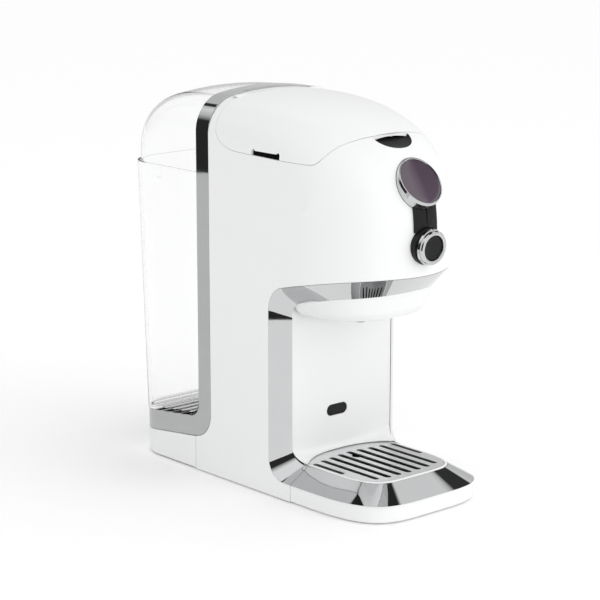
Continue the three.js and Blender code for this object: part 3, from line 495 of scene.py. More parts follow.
def material(name, color, rough, metallic=0.0, tone=0.03, mottle=40.0, bump=(700.0, 0.00001),
             stretch=(1, 1, 1), **sockets):
    """A surface whose tone and roughness drift slowly, with a fine grain on top."""
    result = bpy.data.materials.new(name)
    result.use_nodes = True
    tree = result.node_tree
    shader = tree.nodes["Principled BSDF"]
    place = add_node(tree, "TexCoord", {}).outputs["Object"]
    spot = add_node(tree, "Mapping", {"Vector": place, "Scale": stretch}).outputs["Vector"]

    def noise(scale, detail):
        return add_node(tree, "TexNoise", {"Vector": spot, "Scale": scale, "Detail": detail}).outputs["Fac"]

    low, high = 0.3, 0.7
    ramp = add_node(tree, "ValToRGB", {"Fac": noise(mottle, 3.0)})
    for element, at, change in zip(ramp.color_ramp.elements, (low, high), (-tone, tone)):
        element.position = at
        element.color = (*[min(c * (1 + change), 1) for c in color], 1)
    spread = add_node(tree, "MapRange", {"Value": noise(mottle * 2.3, 2.0), "From Min": low, "From Max": high,
                                         "To Min": rough[0], "To Max": rough[1]})
    grain = add_node(tree, "Bump", {"Height": noise(bump[0], 2.0), "Strength": 1.0, "Distance": bump[1]})
    tree.links.new(ramp.outputs["Color"], shader.inputs["Base Color"])
    tree.links.new(spread.outputs["Result"], shader.inputs["Roughness"])
    tree.links.new(grain.outputs["Normal"], shader.inputs["Normal"])
    shader.inputs["Metallic"].default_value = metallic
    for socket, value in sockets.items():
        shader.inputs[socket.replace("_", " ")].default_value = value
    return result


WHITE = material("white_gloss", (0.87, 0.875, 0.875), (0.34, 0.38), tone=0.003, mottle=9.0,
                 bump=(1400.0, 0.000002), Specular_IOR_Level=0.2)
CHROME = material("chrome", (0.62, 0.625, 0.63), (0.015, 0.035), 1.0, tone=0.01, bump=(90.0, 0.000001))
# near-black and almost unreflective: painted shade for the inside of the steam vent slots
VENT_SHADE = material("painted_vent_shade", (0.004, 0.004, 0.004), (0.6, 0.7), tone=0.1, Specular_IOR_Level=0.05)
BLACK = material("black_gloss", (0.008, 0.0085, 0.009), (0.16, 0.24), tone=0.1, Specular_IOR_Level=0.2)
SATIN = material("black_satin", (0.01, 0.01, 0.0105), (0.34, 0.44), tone=0.1, bump=(1600.0, 0.00002),
                 Specular_IOR_Level=0.2)
GREY = material("grey_plastic", (0.22, 0.225, 0.23), (0.45, 0.6), bump=(1500.0, 0.00003))
STEEL = material("brushed_steel", (0.66, 0.665, 0.67), (0.2, 0.32), 1.0, tone=0.05, mottle=60.0,
                 bump=(900.0, 0.000004), stretch=(1, 0.04, 1))
GRILLE = material("grille_steel", (0.78, 0.785, 0.79), (0.28, 0.4), 1.0, tone=0.03, mottle=60.0,
                  bump=(900.0, 0.000004), stretch=(1, 0.04, 1))
ALLOY = material("cast_alloy", (0.5, 0.5, 0.51), (0.35, 0.5), 1.0, tone=0.06, bump=(1100.0, 0.00003))
RUBBER = material("rubber", (0.02, 0.02, 0.02), (0.7, 0.85), tone=0.1, bump=(1800.0, 0.00004))
CLEAR = material("clear_tank", (0.99, 0.992, 0.992), (0.0, 0.01), tone=0.003, bump=(30.0, 0.000002),
                 Transmission_Weight=1.0, IOR=1.14)
CAGE = material("frosted_plastic", (0.8, 0.82, 0.82), (0.3, 0.4), Transmission_Weight=0.6)
SCREEN = material("tinted_screen", (0.085, 0.06, 0.085), (0.03, 0.06), tone=0.12, mottle=18.0,
                  bump=(50.0, 0.000001), Coat_Weight=0.6, Coat_Roughness=0.02)
BOARD = material("circuit_board", (0.02, 0.1, 0.04), (0.4, 0.55), tone=0.15, mottle=300.0)
HOSE = material("silicone_hose", (0.75, 0.72, 0.64), (0.4, 0.5), Transmission_Weight=0.2)


# ---------- pieces ----------
def piece(form, name, look, node, sharp=32, bevel=0.0):
    """Puts a form into the scene on the body of the CAD node it stands for."""
    mesh = form.mesh.copy()
    mesh.transform(Matrix.Scale(MM, 4))
    mesh.materials.clear()
    mesh.materials.append(look)
    mesh.polygons.foreach_set("material_index", [0] * len(mesh.polygons))
    mesh.polygons.foreach_set("use_smooth", [True] * len(mesh.polygons))
    mesh.set_sharp_from_angle(angle=radians(sharp))
    obj = add_object(name, mesh)
    if bevel:
        edge = obj.modifiers.new("edge", "BEVEL")
        edge.width = bevel * MM
        edge.segments = 3
        edge.limit_method = "ANGLE"
        edge.angle_limit = radians(40)
        edge.harden_normals = True
    weigh = obj.modifiers.new("normals", "WEIGHTED_NORMAL")
    weigh.keep_sharp = True
    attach(obj, BODY_OF[node])
    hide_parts(node)
    return obj


# ----- casing and lid -----
def lid_outline(grow):
    corners = [(-97 - grow, 289 - grow), (-100 - grow, 292), (-100 - grow, 335), (30 + grow, 335),
               (30 + grow, 290)]
    rear = bezier(corners[-1], (30 + grow, 278 - grow), (20 + grow, 271.2 - grow), (2, 270.7 - grow))
    tip = bezier((-74.5, 269.1 - grow), (-78.5 - grow, 269.1 - grow), (-80.6 - grow, 269.9 - grow),
                 (-82.6 - grow, 272.4 - grow), 10)
    rise = bezier(tip[-1], (-87 - grow, 278), (-89 - grow, 285 - grow), corners[0])
    return corners[1:] + rear + tip + rise


def casing_outline():
    edge = [(y, head_edge(y) + GAP) for y in np.arange(BODY_FRONT - 6, OUTER_TOP[0][0] - 12, 1.5)]
    belt = (BAND_OUTER_BEND[-1][0], belt_lower(57.2))
    return [
        (TRAY_SPLIT, BODY_FOOT),
        (58.4, BODY_FOOT),
        (58.4, belt[1] - 0.4),
        *[(y - GAP, z - GAP) for y, z in BAND_OUTER_BEND[::-1]],
        (BODY_REAR, 330),
        (-160, 330),
        (-160, 184.6 + GAP),
        *edge,
        *[(y + 0.2, z + 0.2) for y, z in OUTER_TOP],
        *[(y + 0.2, z - 0.2) for y, z in OUTER_FOOT],
        (TRAY_SPLIT, BEZEL_BOTTOM - GAP),
    ]


def vent_outline(grow):
    """A slot in the lid's lower edge with a small bump at each upper corner."""
    top = 274.0 + grow
    rear, front = -14.9 + grow, -46.8 - grow
    bump_r = 1.1
    outline = [(rear, 262), (rear, top - 1)]
    for centre in (rear - 2.2, front + 2.2):
        angles = np.linspace(0, pi, 9)
        outline += [(centre + 1.6 * cos(a), top - 0.4 + bump_r * sin(a)) for a in angles]
    return outline + [(front, top - 1), (front, 262)]


def vent_cut(grow):
    side = prism_x(vent_outline(grow), HALF - 6, HALF + 2)
    return side + prism_x(vent_outline(grow), -HALF - 2, -HALF + 6)


# y, z and upward tilt in degrees of the display and the knob; half width, rear and reach of the recess
DISPLAY = (-131.4, 257.0, 35.5)
DISPLAY_RING = 20.4
KNOB = (-147.3, 207.8, -4.8)
CRESCENT = (18.6, -97.6, 14.6)


def crescent_cut():
    half, rear, reach = CRESCENT
    front = [(half * cos(a), rear - reach * sin(a)) for a in np.linspace(0, pi, 49)]
    return prism_z(front, 268, 300)


def hinge_ears():
    y, z = HINGE
    ears = []
    for side in (-1, 1):
        a, b = sorted((side * 18.4, side * 23.6))
        ears.append(cross_rod(HINGE_R, a, b, y, z) + block(a, b, y - 1, BODY_REAR - 0.2, z - 5, z + 1)
                    + block(a, b, 35.8, BODY_REAR - 0.2, z - 5, z + 3.2))
    return ears[0] + ears[1]


def casing():
    hollow = head_form(WALL, BODY_FOOT - 4)
    lower = block(-HALF, HALF, BODY_REAR - 1, 58.2, BODY_FOOT, 58)
    room = block(-HALF + WALL, HALF - WALL, 0, 80, 0, 60)
    hinge_bore = cross_rod(HINGE_BORE, -60, 60, *HINGE)
    shell = (head_form(0.0, BODY_FOOT) + lower) - hollow - room
    shell = shell & prism_x(casing_outline())
    shell = shell - prism_x(lid_outline(GAP)) - block(-46, 46, 29, 35.6, HINGE[1] - 4.5, 330)
    shell = shell + (hinge_ears() - hinge_bore)
    shell = shell - facing_front(rod(DISPLAY_RING + GAP, -40, 20, segments=128), DISPLAY)
    shell = shell - facing_front(rod(6, -30, 20), KNOB) - crescent_cut()
    piece(shell, "casing_shell", WHITE, "main_casing")


def lid():
    y, z = HINGE
    shell = (head_form(0.0, BODY_FOOT) - head_form(WALL, BODY_FOOT - 4)) & prism_x(lid_outline(0))
    shell = shell - block(-45, 45, y - 0.5, 60, 200, 340)
    for a, b in ((-45, -24), (-18, 18), (24, 45)):
        shell = shell + (cross_rod(HINGE_R, a, b, y, z) + block(a, b, 27, y, z - 1.2, z + 1.4))
    for side in (-1, 1):
        shell = shell - cross_rod(3.8, *sorted((side * 18, side * 24)), y, z)
    shell = shell - cross_rod(HINGE_BORE, -60, 60, y, z) - vent_cut(GAP)
    piece(shell, "lid_shell", WHITE, "brew_lid")
    rim = rounded([(0, -44), (1.2, -44), (1.2, 44), (0, 44)], 0.3)
    piece(placed(lathe(rim, 32), turned(pi / 2, "Y", 0, y, z)), "hinge_pin", STEEL, "lid_hinge_pin")


def vents():
    body = (head_form(1.6, BODY_FOOT) - head_form(4.0, BODY_FOOT - 4)) & vent_cut(0)
    body = body & prism_x(lid_outline(0))
    for name, side in (("steam_vent_left", -1), ("steam_vent_right", 1)):
        half = body & block(*sorted((0, side * 90)), -80, 20, 240, 290)
        # the dark fill sits in the cut-open vent as painted shade, in place of the shade inside the slot
        piece(half, name + "_slot", VENT_SHADE, name)


def recess():
    """A dark scoop that lets a finger under the lid's front edge."""
    half, rear, reach = CRESCENT
    deep, thick = 4.4, 1.2
    across, along = 49, 25
    grids = []
    for lower in (0, thick):
        rows = []
        for i in range(across):
            u = sin(radians(-86 + 172 * i / (across - 1)))
            x = (half - GAP) * u
            width = sqrt(1 - u * u)
            front = rear - (reach - GAP) * width
            row = []
            for v in np.linspace(0, 1, along):
                depth = 0.25 + deep * width ** 0.7 * (1 - v * v) + lower
                row.append(on_head(x, blend(rear + 2.6, front, v), depth))
            rows.append(row)
        grids.append(rows)
    piece(skin(grids, across, along), "recess_scoop", SATIN, "finger_recess")


# ----- bright trim around the open front -----
def trim_stations():
    stations = []
    for u, out in super_quarter(1, 1, 2.8, 2.8, 40)[::-1]:
        x = HALF * u
        over = max(x - (HALF - SHOULDER[1]), 0)
        bulge = SHOULDER[1] - sqrt(max(SHOULDER[1] ** 2 - over ** 2, 0)) + CROWN[1] * x * x
        y = -133.4
        for _ in range(6):
            y = front_line(head_edge(y)) + bulge
        yi = -60 - 57.4 * out
        stations.append(((x, y, head_edge(y)), (INNER_HALF * u, yi, inner_head_edge(yi)), (0, 1)))
    for outer, inner, turn in zip(OUTER_TOP, INNER_TOP, np.linspace(0, pi / 2, len(OUTER_TOP))):
        stations.append(((HALF, *outer), (INNER_HALF, *inner), (sin(turn), cos(turn))))
    for outer, inner, turn in zip(OUTER_FOOT, INNER_FOOT, np.linspace(0, pi / 2, len(OUTER_FOOT))):
        half = blend(INNER_HALF, 49.2, smooth(2 * turn / pi))
        stations.append(((HALF, *outer), (half, *inner), (cos(turn), -sin(turn))))
    outer_plan = super_quarter(HALF, SIDE_END - TRAY_FRONT, 4.4, 3.36, 56)
    inner_plan = super_quarter(RIM_HALF, SIDE_END - RIM_FRONT, 5, 5, 56)
    for (x, out), (xi, out_i) in zip(outer_plan, inner_plan):
        widen = 0.6 * max(1 - out_i / 8, 0)
        inner = (xi + widen, SIDE_END - out_i, BEZEL_TOP)
        stations.append(((x, SIDE_END - out, BEZEL_BOTTOM), inner, (0, -1)))
    dense = [stations[0]]
    for here, ahead in zip(stations, stations[1:]):
        gap = dist(here[0], ahead[0])
        pieces = max(int(gap / 1.6), 1)
        for k in range(1, pieces + 1):
            share = k / pieces
            dense.append([tuple(blend(np.array(a), np.array(b), share)) for a, b in zip(here, ahead)])
    return dense


def trim_ring():
    thick, rim = 2.2, 2.6
    half = trim_stations()
    sections = []
    for i, (outer, inner, back) in enumerate(half):
        ahead = half[min(i + 1, len(half) - 1)][0]
        behind = half[max(i - 1, 0)][0]
        dx = abs(ahead[0] - behind[0])
        dy = abs(ahead[1] - behind[1]) if dx > 0 else 1
        size = hypot(dx, dy)
        sx, sy = (0, -1) if i in (0, len(half) - 1) else (dy / size, -dx / size)
        lip = (outer[0] - rim * sx, outer[1] - rim * sy, outer[2])
        heel = (inner[0], inner[1] + thick * back[0], inner[2] + thick * back[1])
        sections.append(np.array([outer, inner, heel, lip]))
    ring = sections + [s * (-1, 1, 1) for s in sections[-2:0:-1]]
    verts = np.vstack(ring)
    faces = grid_faces(len(ring) + 1, 4, closed=True)
    return Form(verts, [tuple(i % len(verts) for i in face) for face in faces])


def trims():
    ring = trim_ring()
    upper = ring - block(-90, 90, -170, TRAY_SPLIT, -10, 60)
    piece(upper, "trim_strip", CHROME, "bright_trim", sharp=28)
    lower = ring & block(-90, 90, -170, TRAY_SPLIT - GAP, -10, 60)
    piece(lower, "bezel_strip", CHROME, "tray_bezel", sharp=28)


# ----- column panel, level window and spout -----
def panel():
    """A concave panel whose foot sweeps forward into the tray and follows the trim at its sides."""
    thick = 2.2
    across, down = 61, 60
    top, foot, window_z = 153.0, 27.6, 60.0
    grids = []
    for behind in (0.0, thick):
        rows = []
        for u in np.linspace(-1, 1, across):
            a = abs(u)
            face = blend(-39.2, -45.5, a * a) + behind
            side = smooth(min(max((a - 0.8) / 0.2, 0), 1))
            reach = blend(2.6 + 10.5 * a ** 3, 12.2, side)
            radius = blend(5.0 + 4.0 * a, 11.6, side) + behind
            lift = foot + 0.2 + behind * 0.35
            row = []
            for v in np.linspace(0, 1, down):
                turn = min(max((v - 0.5) / 0.5, 0), 1) * pi / 2
                straight = min(v / 0.5, 1)
                z = blend(top, lift + radius, straight) - radius * sin(turn)
                y = face - (reach + behind) * (1 - cos(turn))
                half = blend(INNER_HALF - GAP, 48.9, smooth(turn / (pi / 2)))
                row.append((u * half, y, z))
            rows.append(row)
        grids.append(rows)
    cut = placed(prism_z(window_outline(11, 4.7), -20, 20), turned(pi / 2, "X", 0, -40, window_z))
    piece(skin(grids, across, down) - cut, "panel_liner", WHITE, "column_panel")
    pane = sheet_form([window_outline(10.75, 4.45)], -1.6, 1.6, 0.5)
    piece(placed(pane, turned(pi / 2, "X", 0, -37.9, window_z)), "level_pane", BLACK, "level_window")


def window_outline(half, r, steps=24):
    """A slot with round ends; half is half of its length."""
    right = [(half - r + r * cos(t), r * sin(t)) for t in np.linspace(-pi / 2, pi / 2, steps)]
    return right + [(-x, -y) for x, y in right]


# shares of the rim's width and length that the bowl keeps at each share of its depth
BOWL_FLOOR = 145.2
BOWL_DEPTHS = (1, 0.88, 0.64, 0.36, 0.12, 0)
BOWL_WIDTHS = (0.6, 0.84, 0.91, 0.955, 0.985, 1)
BOWL_LENGTHS = (0.64, 0.83, 0.9, 0.945, 0.975, 1)


def bowl_form(inset, opening):
    """The underside of the head: a shallow bowl, open to the rear."""
    shrink = 1 - inset / 55
    rings = []
    for deep in np.sin(np.linspace(pi / 2, 0, 33)):
        across = np.interp(deep, BOWL_DEPTHS[::-1], BOWL_WIDTHS[::-1]) * shrink
        along = np.interp(deep, BOWL_DEPTHS[::-1], BOWL_LENGTHS[::-1]) * shrink
        half = (INNER_HALF - GAP) * across
        right = [(x, -60 - out) for x, out in super_quarter(half, 57 * along, 2.8, 2.8, 40)]
        left = [(-x, y) for x, y in right[-2::-1]]
        loop = [(half, -47 + opening)] + right + left + [(-half, -47 + opening), (0, -41.2 + opening)]
        lift = 8 if inset and deep == 0 else 0
        rings.append(np.array([(x, y, blend(inner_head_edge(y), BOWL_FLOOR, deep) + inset + lift)
                               for x, y in loop]))
    return loft(rings)


def spout():
    bowl = bowl_form(0, 0) - bowl_form(2.2, 9) - rod(5.3, 120, 160, 0, POD_Y)
    piece(bowl, "spout_bowl", WHITE, "spout_housing")
    low, high = NOZZLE_LOW[2], NOZZLE_HIGH[2]
    wall = rounded([(2.6, low), (5, low), (5, high), (2.6, high)], 0.5)
    piece(lathe_at(wall, 64, 0, POD_Y), "nozzle_tip", BLACK, "spout_nozzle")


# ----- controls on the front -----
def controls():
    ring = rounded([(17, -14), (DISPLAY_RING, -14), (DISPLAY_RING, -1.4), (19.7, 0.55), (19.0, 0.75),
                    (18.7, 0.3), (18.7, -2.4), (17, -2.4)], 0.16)
    piece(facing_front(lathe(ring, 160), DISPLAY), "display_ring", CHROME, "display_bezel")
    glass = [(0, -2), (18.4, -2), (18.4, -0.15), (18.1, 0.05), (15, 0.22), (12, 0.35), (6, 0.46), (0, 0.5)]
    piece(facing_front(lathe(glass, 128), DISPLAY), "display_pane", SCREEN, "display_glass")

    strip = head_layer(-2.0, -0.3) & block(-11.6, 11.6, -160, -110, 219.6, 250)
    groove = head_layer(-3.0, -1.2) & block(-0.45, 0.45, -147, -100, 226, 260)
    strip = strip - groove - facing_front(rod(14.8, -20, 20, segments=128), KNOB)
    strip = strip - facing_front(rod(DISPLAY_RING + GAP, -40, 20, segments=128), DISPLAY)
    piece(strip, "control_panel", SATIN, "control_strip")

    collar = [(6.2, -12.4), (14.4, -12.4), (14.4, -6.6), (13.6, -6.1), (6.2, -6.1)]
    collar = rounded(collar, [0, 0, 0.3, 0.3, 0])
    collar = facing_front(lathe(collar, 128), KNOB) - head_form(-0.3, BODY_FOOT)
    piece(collar, "knob_base", SATIN, "knob_collar")
    ring = rounded([(9.7, -4.9), (13.6, -4.9), (14.1, -4.4), (13.7, -3.5), (13.0, -3.1), (13.3, -1.1),
                    (12.6, -0.2), (11.4, 0), (10, -0.5), (9.7, -1.6)], 0.12)
    piece(facing_front(lathe(ring, 128), KNOB), "knob_rim", CHROME, "knob_ring")
    cap = [(0, -4.9), (9.4, -4.9), (9.4, -1.7), (9.1, -1.35), (8.6, -1.3), (8.2, -1.5), (0, -1.6)]
    piece(facing_front(lathe(cap, 128), KNOB), "knob_button", BLACK, "knob_cap")
    stem = rounded([(0, -26), (3, -26), (3, -5.2), (0, -5.2)], 0.3)
    piece(facing_front(lathe(stem, 48), KNOB), "knob_shaft_rod", STEEL, "knob_stem")


# ----- drip tray unit -----
def whole_plan(half, front, rear, powers=(4.4, 3.36)):
    """A plan with a superelliptic front that ends straight at SIDE_END, then the given rear points."""
    right = [(x, SIDE_END - out) for x, out in super_quarter(half, SIDE_END - front, *powers, 56)]
    return right + [(-x, y) for x, y in right[-2::-1]] + rear


def tray_plan(inset):
    half, rear = HALF - 0.4 - inset, TRAY_SPLIT - GAP - inset
    return whole_plan(half, TRAY_FRONT + 1.1 + inset, [(-half, rear), (half, rear)])


def basin_plan(inset):
    half = RIM_HALF - GAP - inset
    rear = [(x, -40.2 - inset - 0.0055 * x * x) for x in np.linspace(-half, half, 41)]
    return whole_plan(half, RIM_FRONT + GAP + inset, rear, (5, 5))


def layered(plan, levels):
    """Stacks an outline at pairs of inset and height."""
    return loft([np.column_stack([np.array(plan(inset)), np.full(len(plan(inset)), z)])
                 for inset, z in levels])


def rounded_levels(z0, z1, inset, low_r, high_r, steps=6):
    quarter = np.linspace(0, pi / 2, steps + 1)
    low = [(inset + low_r * (1 - sin(t)), z0 + low_r * (1 - cos(t))) for t in quarter]
    high = [(inset + high_r * (1 - cos(t)), z1 - high_r * (1 - sin(t))) for t in quarter]
    return low + high


def tray():
    floor, ledge = TRAY_LOW[2] + 2, TRAY_HIGH[2] - 2.1
    body = layered(tray_plan, rounded_levels(TRAY_LOW[2], BEZEL_BOTTOM - GAP, 0, 1.6, 0.3))
    body = body - layered(tray_plan, [(2.4, floor), (2.4, 40)])
    body = body + layered(basin_plan, rounded_levels(TRAY_LOW[2], TRAY_HIGH[2], 0, 0.3, 0.7))
    body = body - layered(basin_plan, [(1.8, ledge), (1.8, TRAY_HIGH[2] - 0.5), (1.2, 40)])
    body = body - layered(basin_plan, [(3.4, floor), (3.4, 40)])
    obj = piece(body, "tray_body", WHITE, "drip_tray", sharp=40)
    obj.data.materials.append(SATIN)
    ahead, side = RIM_FRONT * MM, RIM_HALF * MM
    for face in obj.data.polygons:
        x, y, z = face.center
        if floor * MM - 0.0001 <= z < ledge * MM and abs(x) < side - 0.002 and ahead + 0.002 < y < -0.042:
            face.material_index = 1


def grille():
    """Nine slots; the middle one widens to a round hole around the float."""
    pitch, hole_r = 10.52, 4.7
    float_x, float_y, _ = centre_of("drip_float")
    # rear end, front end and width of a slot, from the middle outward
    ends = [(-52.2, -124.5, 5.6), (-53.1, -124.2, 5.5), (-54.9, -123.6, 5.3), (-56.6, -121.0, 4.9),
            (-58.9, -93.9, 4.2)]
    holes = []
    for k in range(-4, 5):
        rear, front, width = ends[abs(k)]
        slot = window_outline((rear - front) / 2, width / 2, 10)
        middle = (rear + front) / 2
        if k == 0:
            spread = []
            for sign in (1, -1):
                bulge = asin((width / 2 + sign * float_x) / hole_r)
                spread.append([(float_y + hole_r * cos(t), sign * hole_r * sin(t) - float_x)
                               for t in np.linspace(bulge, pi - bulge, 20)])
            ahead = [(middle + u, v) for u, v in slot]
            outline = ahead[:10] + spread[0] + ahead[10:] + spread[1][::-1]
            holes.append([(-v, u) for u, v in outline])
        else:
            holes.append([(k * pitch - v, middle + u) for u, v in slot])
    plate = sheet_form([basin_plan(2.1)] + holes, GRILLE_LOW[2], GRILLE_HIGH[2], 0.35)
    piece(plate, "slotted_grille", GRILLE, "drip_grille", sharp=40)
    r = (FLOAT_HIGH[0] - FLOAT_LOW[0]) / 2
    profile = rounded([(0, FLOAT_LOW[2]), (r, FLOAT_LOW[2]), (r, FLOAT_HIGH[2]), (0, FLOAT_HIGH[2])], 1.0)
    piece(lathe_at(profile, 48, float_x, float_y), "float_button", BLACK, "drip_float")


# ----- tank band with its belt, rear base and rear panel -----
def rear_plan(half, front, rear, corner, steps=24):
    arc = [(half - corner + corner * cos(t), rear - corner + corner * sin(t))
           for t in np.linspace(0, pi / 2, steps + 1)]
    return [(half, front)] + arc + [(-x, y) for x, y in arc[::-1]] + [(-half, front)]


def belt_plan(inset, front=30.0):
    return rear_plan(HALF - inset, front, BASE_REAR - inset, BASE_CORNER - inset)


def arch_block(inset):
    def station(y):
        return [y, BAND_TOP - inset, 0, 1, SHOULDER[0] - inset, CROWN[0]]

    middle = BAND_FRONT + 7
    profile = [station(BAND_REAR + inset), station(middle), station(BAND_FRONT - inset)]
    roof = crowned_form(profile, HALF - inset, (middle, 45))
    return roof + block(-HALF + inset, HALF - inset, BAND_FRONT - inset, BAND_REAR + inset, 30, 280)


def band():
    belt = prism_z(belt_plan(0), 5, 62) & block(-90, 90, BAND_FRONT, 160, 0, 62)
    inner = arch_block(BAND_THICK) + prism_z(belt_plan(BAND_THICK), 0, 63)
    ribbon = [(BAND_FRONT, 330), *BAND_OUTER_BEND, (150, belt_lower(150)), (150, belt_upper(150)),
              *BAND_INNER_BEND[::-1], (BAND_REAR, 330)]
    shell = ((arch_block(0) + belt) - inner) & prism_x(ribbon)
    piece(shell, "band_strip", CHROME, "tank_band", sharp=24)
    wall = arch_block(BAND_THICK + GAP) & block(-90, 90, 50.4, 52.4, 64, 320)
    piece(wall, "rear_wall", WHITE, "rear_panel")


def rear_base():
    front = BASE_LOW[1]
    slack = BAND_THICK + GAP
    foot = BASE_LOW[2]
    lower = [(front, 0), (150, 0), (150, belt_lower(150) - GAP), (front, belt_lower(front) - GAP)]
    seat = [(front, 8), (150, 8), (150, belt_upper(150)), (66, belt_upper(66)), (front, belt_upper(66))]
    body = layered(belt_plan, rounded_levels(foot, 60, 0, 1.6, 0.2)) & prism_x(lower)
    body = body + (prism_z(belt_plan(slack), foot, 60) & prism_x(seat))

    def hollow(inset, lift):
        line = [(50, -1), (150, -1), (150, belt_lower(150) + lift), (50, belt_lower(50) + lift)]
        return prism_z(belt_plan(inset), -1, 60) & prism_x(line)

    body = body - hollow(WALL, -GAP - WALL) - hollow(slack + WALL, 12.2)
    body = body - block(-12.3, 12.3, 130, 150, 4.6, 17.4) - rod(10.3, 20, 60, *VALVE)
    piece(body, "base_shell", WHITE, "rear_base", sharp=40)


def mains_inlet():
    low, high = span("mains_inlet")
    face = [(low[0], low[2]), (high[0], low[2]), (high[0], high[2]), (low[0], high[2])]
    body = prism_y(rounded(face, 1.4, turned=False), low[1], high[1])
    body = body - block(low[0] + 2.4, high[0] - 2.4, low[1] + 8, high[1] + 5, low[2] + 1.7, high[2] - 1.7)
    for x in (-4.3, 4.3):
        body = body + placed(rod(1.2, low[1] + 7, low[1] + 17, segments=32), turned(-pi / 2, "X", x, 0, 11))
    piece(body, "inlet_socket", SATIN, "mains_inlet")


# ----- floor, feet and screws -----
def underside():
    outline = rear_plan(HALF - WALL - 0.4, -37, BASE_REAR - WALL - 0.4, 29)
    holes = []
    for node in [f"foot_{i}" for i in range(1, 5)] + [f"floor_screw_{i}" for i in range(1, 5)]:
        x, y, _ = centre_of(node)
        holes.append(circle(2.2 if node.startswith("foot") else 2.0, x, y, 24))
        if node.startswith("foot"):
            profile = rounded([(0, 0), (8.4, 0), (8.4, 1.1), (1.9, 1.1), (1.9, 4.6), (0, 4.6)],
                              [0, 0.45, 0.2, 0, 0.3, 0])
            piece(lathe_at(profile, 64, x, y), node + "_pad", RUBBER, node)
        else:
            profile = [(0, 0.4), (2.9, 0.4), (3.4, 0.7), (3.4, 1.1), (1.6, 1.1), (1.6, 9), (0, 9)]
            head = lathe_at(profile, 48, x, y)
            for turn in (0, pi / 2):
                bar = block(-1.7, 1.7, -0.35, 0.35, -1, 0.9)
                head = head - placed(bar, turned(turn, "Z", x, y))
            piece(head, node + "_head", STEEL, node)
    plate = sheet_form([outline] + holes, 1.4, 3.6, 0.4)
    piece(plate, "floor_cover", GREY, "floor_plate", sharp=40)
    for node in ("tray_foot_1", "tray_foot_2"):
        x, y, _ = centre_of(node)
        top = span(node)[1][2]
        r = span(node)[1][0] - x
        profile = rounded([(0, 0), (r, 0), (r, top), (0, top)], 0.25)
        piece(lathe_at(profile, 64, x, y), node + "_pad", RUBBER, node)


# ----- water tank -----
TANK_RIM = TANK_HIGH[2]
TANK_FRONT = TANK_LOW[1]
TANK_HALF = TANK_HIGH[0]
TANK_REAR = (143.2, 152.5)
TANK_WALL = 2.2


def tank_ring(z, inset):
    share = (z - 40) / (TANK_RIM - 40)
    rear = blend(*TANK_REAR, share) - inset
    plan = np.array(rear_plan(TANK_HALF - inset, TANK_FRONT + inset, rear, BASE_CORNER - inset))
    return np.column_stack([plan, np.full(len(plan), z)])


def tank_side(lift, ripple=0.0):
    start = TANK_FRONT + lift
    bend = fillet((start, belt_upper(TANK_FRONT) + 0.4 + lift), (0, 1), (1, -0.11), 11)
    floor = [(y, belt_upper(y) + 0.4 + lift + ripple * (1 - cos((y - bend[-1][0]) * 0.55)))
             for y in np.linspace(bend[-1][0], 170, 160)]
    return [(TANK_FRONT - 5, 400), (TANK_FRONT - 5, bend[0][1]), *bend, *floor, (170, 400)]


def tank():
    outer = loft([tank_ring(25, 0), tank_ring(TANK_RIM, 0)]) & prism_x(tank_side(0))
    wave = [(x, 46 + 0.7 * cos(x * 0.5)) for x in np.linspace(-80, 80, 240)]
    inner = loft([tank_ring(20, TANK_WALL), tank_ring(TANK_RIM + 5, TANK_WALL)])
    inner = inner & prism_x(tank_side(TANK_WALL, 0.45))
    inner = inner & prism_y([(80, 400), (-80, 400), *[(x, z - 8) for x, z in wave]], 0, 200)
    seat = belt_upper(VALVE[1])
    boss = rod(7.4, seat - 6.4, seat + 3, *VALVE) - rod(4.4, seat - 8, seat + 9, *VALVE)
    shell = (outer - inner) - rod(7, seat - 8, seat + 9, *VALVE) + boss
    piece(shell, "tank_wall", CLEAR, "water_tank", sharp=30)

    plunger = [(0, seat - 6.8), (1.8, seat - 6.8), (1.8, seat + 3.3), (6.2, seat + 3.3), (6.2, seat + 5),
               (1.4, seat + 5), (1.4, seat + 11), (0, seat + 11)]
    piece(lathe_at(plunger, 48, *VALVE), "valve_plunger", BLACK, "tank_valve")
    coil_r, turns = 3.4, 4
    coil = [(VALVE[0] + coil_r * cos(t), VALVE[1] + coil_r * sin(t), seat + 5.9 + 5.4 * t / (2 * pi * turns))
            for t in np.linspace(0, 2 * pi * turns, turns * 12 + 1)]
    piece(tube(coil, 0.45, 10, 2), "valve_coil", STEEL, "valve_spring")
    cage = [(7.9, seat + 4.2), (9.4, seat + 4.2), (9.4, seat + 17), (0, seat + 17), (0, seat + 15.2),
            (7.9, seat + 15.2)]
    shell = lathe_at(cage, 64, *VALVE)
    for i in range(3):
        bar = block(-15, 15, -2.5, 2.5, -3.5, 3.5)
        shell = shell - placed(bar, turned(i * pi / 3, "Z", *VALVE, seat + 10))
    piece(shell, "valve_basket", CAGE, "valve_cage")


def tank_dome(inset):
    foot = TANK_RIM + 0.4
    profile = arch_profile(TANK_FRONT, TANK_REAR[1], COVER_HIGH[2], foot, 2.7, 64, inset,
                           (SHOULDER[0], BASE_CORNER), (CROWN[0], 0.0012))
    profile[0][0] = TANK_FRONT + inset
    profile[-1][1] = foot - (4 if inset else 0)
    return crowned_form(profile, TANK_HALF - inset, (TANK_FRONT + inset, profile[-1][1]))


def tank_cover():
    piece(tank_dome(0.0) - tank_dome(2.0), "tank_dome", CLEAR, "tank_lid", sharp=30)
    low, high = span("tank_lid_catch")
    face = [(low[1], low[2]), (high[1], low[2]), (high[1], high[2]), (low[1], high[2])]
    tab = prism_x(rounded(face, [0.9, 0.9, 0.1, 0.1]), low[0], high[0])
    piece(tab, "cover_tab", CLEAR, "tank_lid_catch", bevel=0.2)


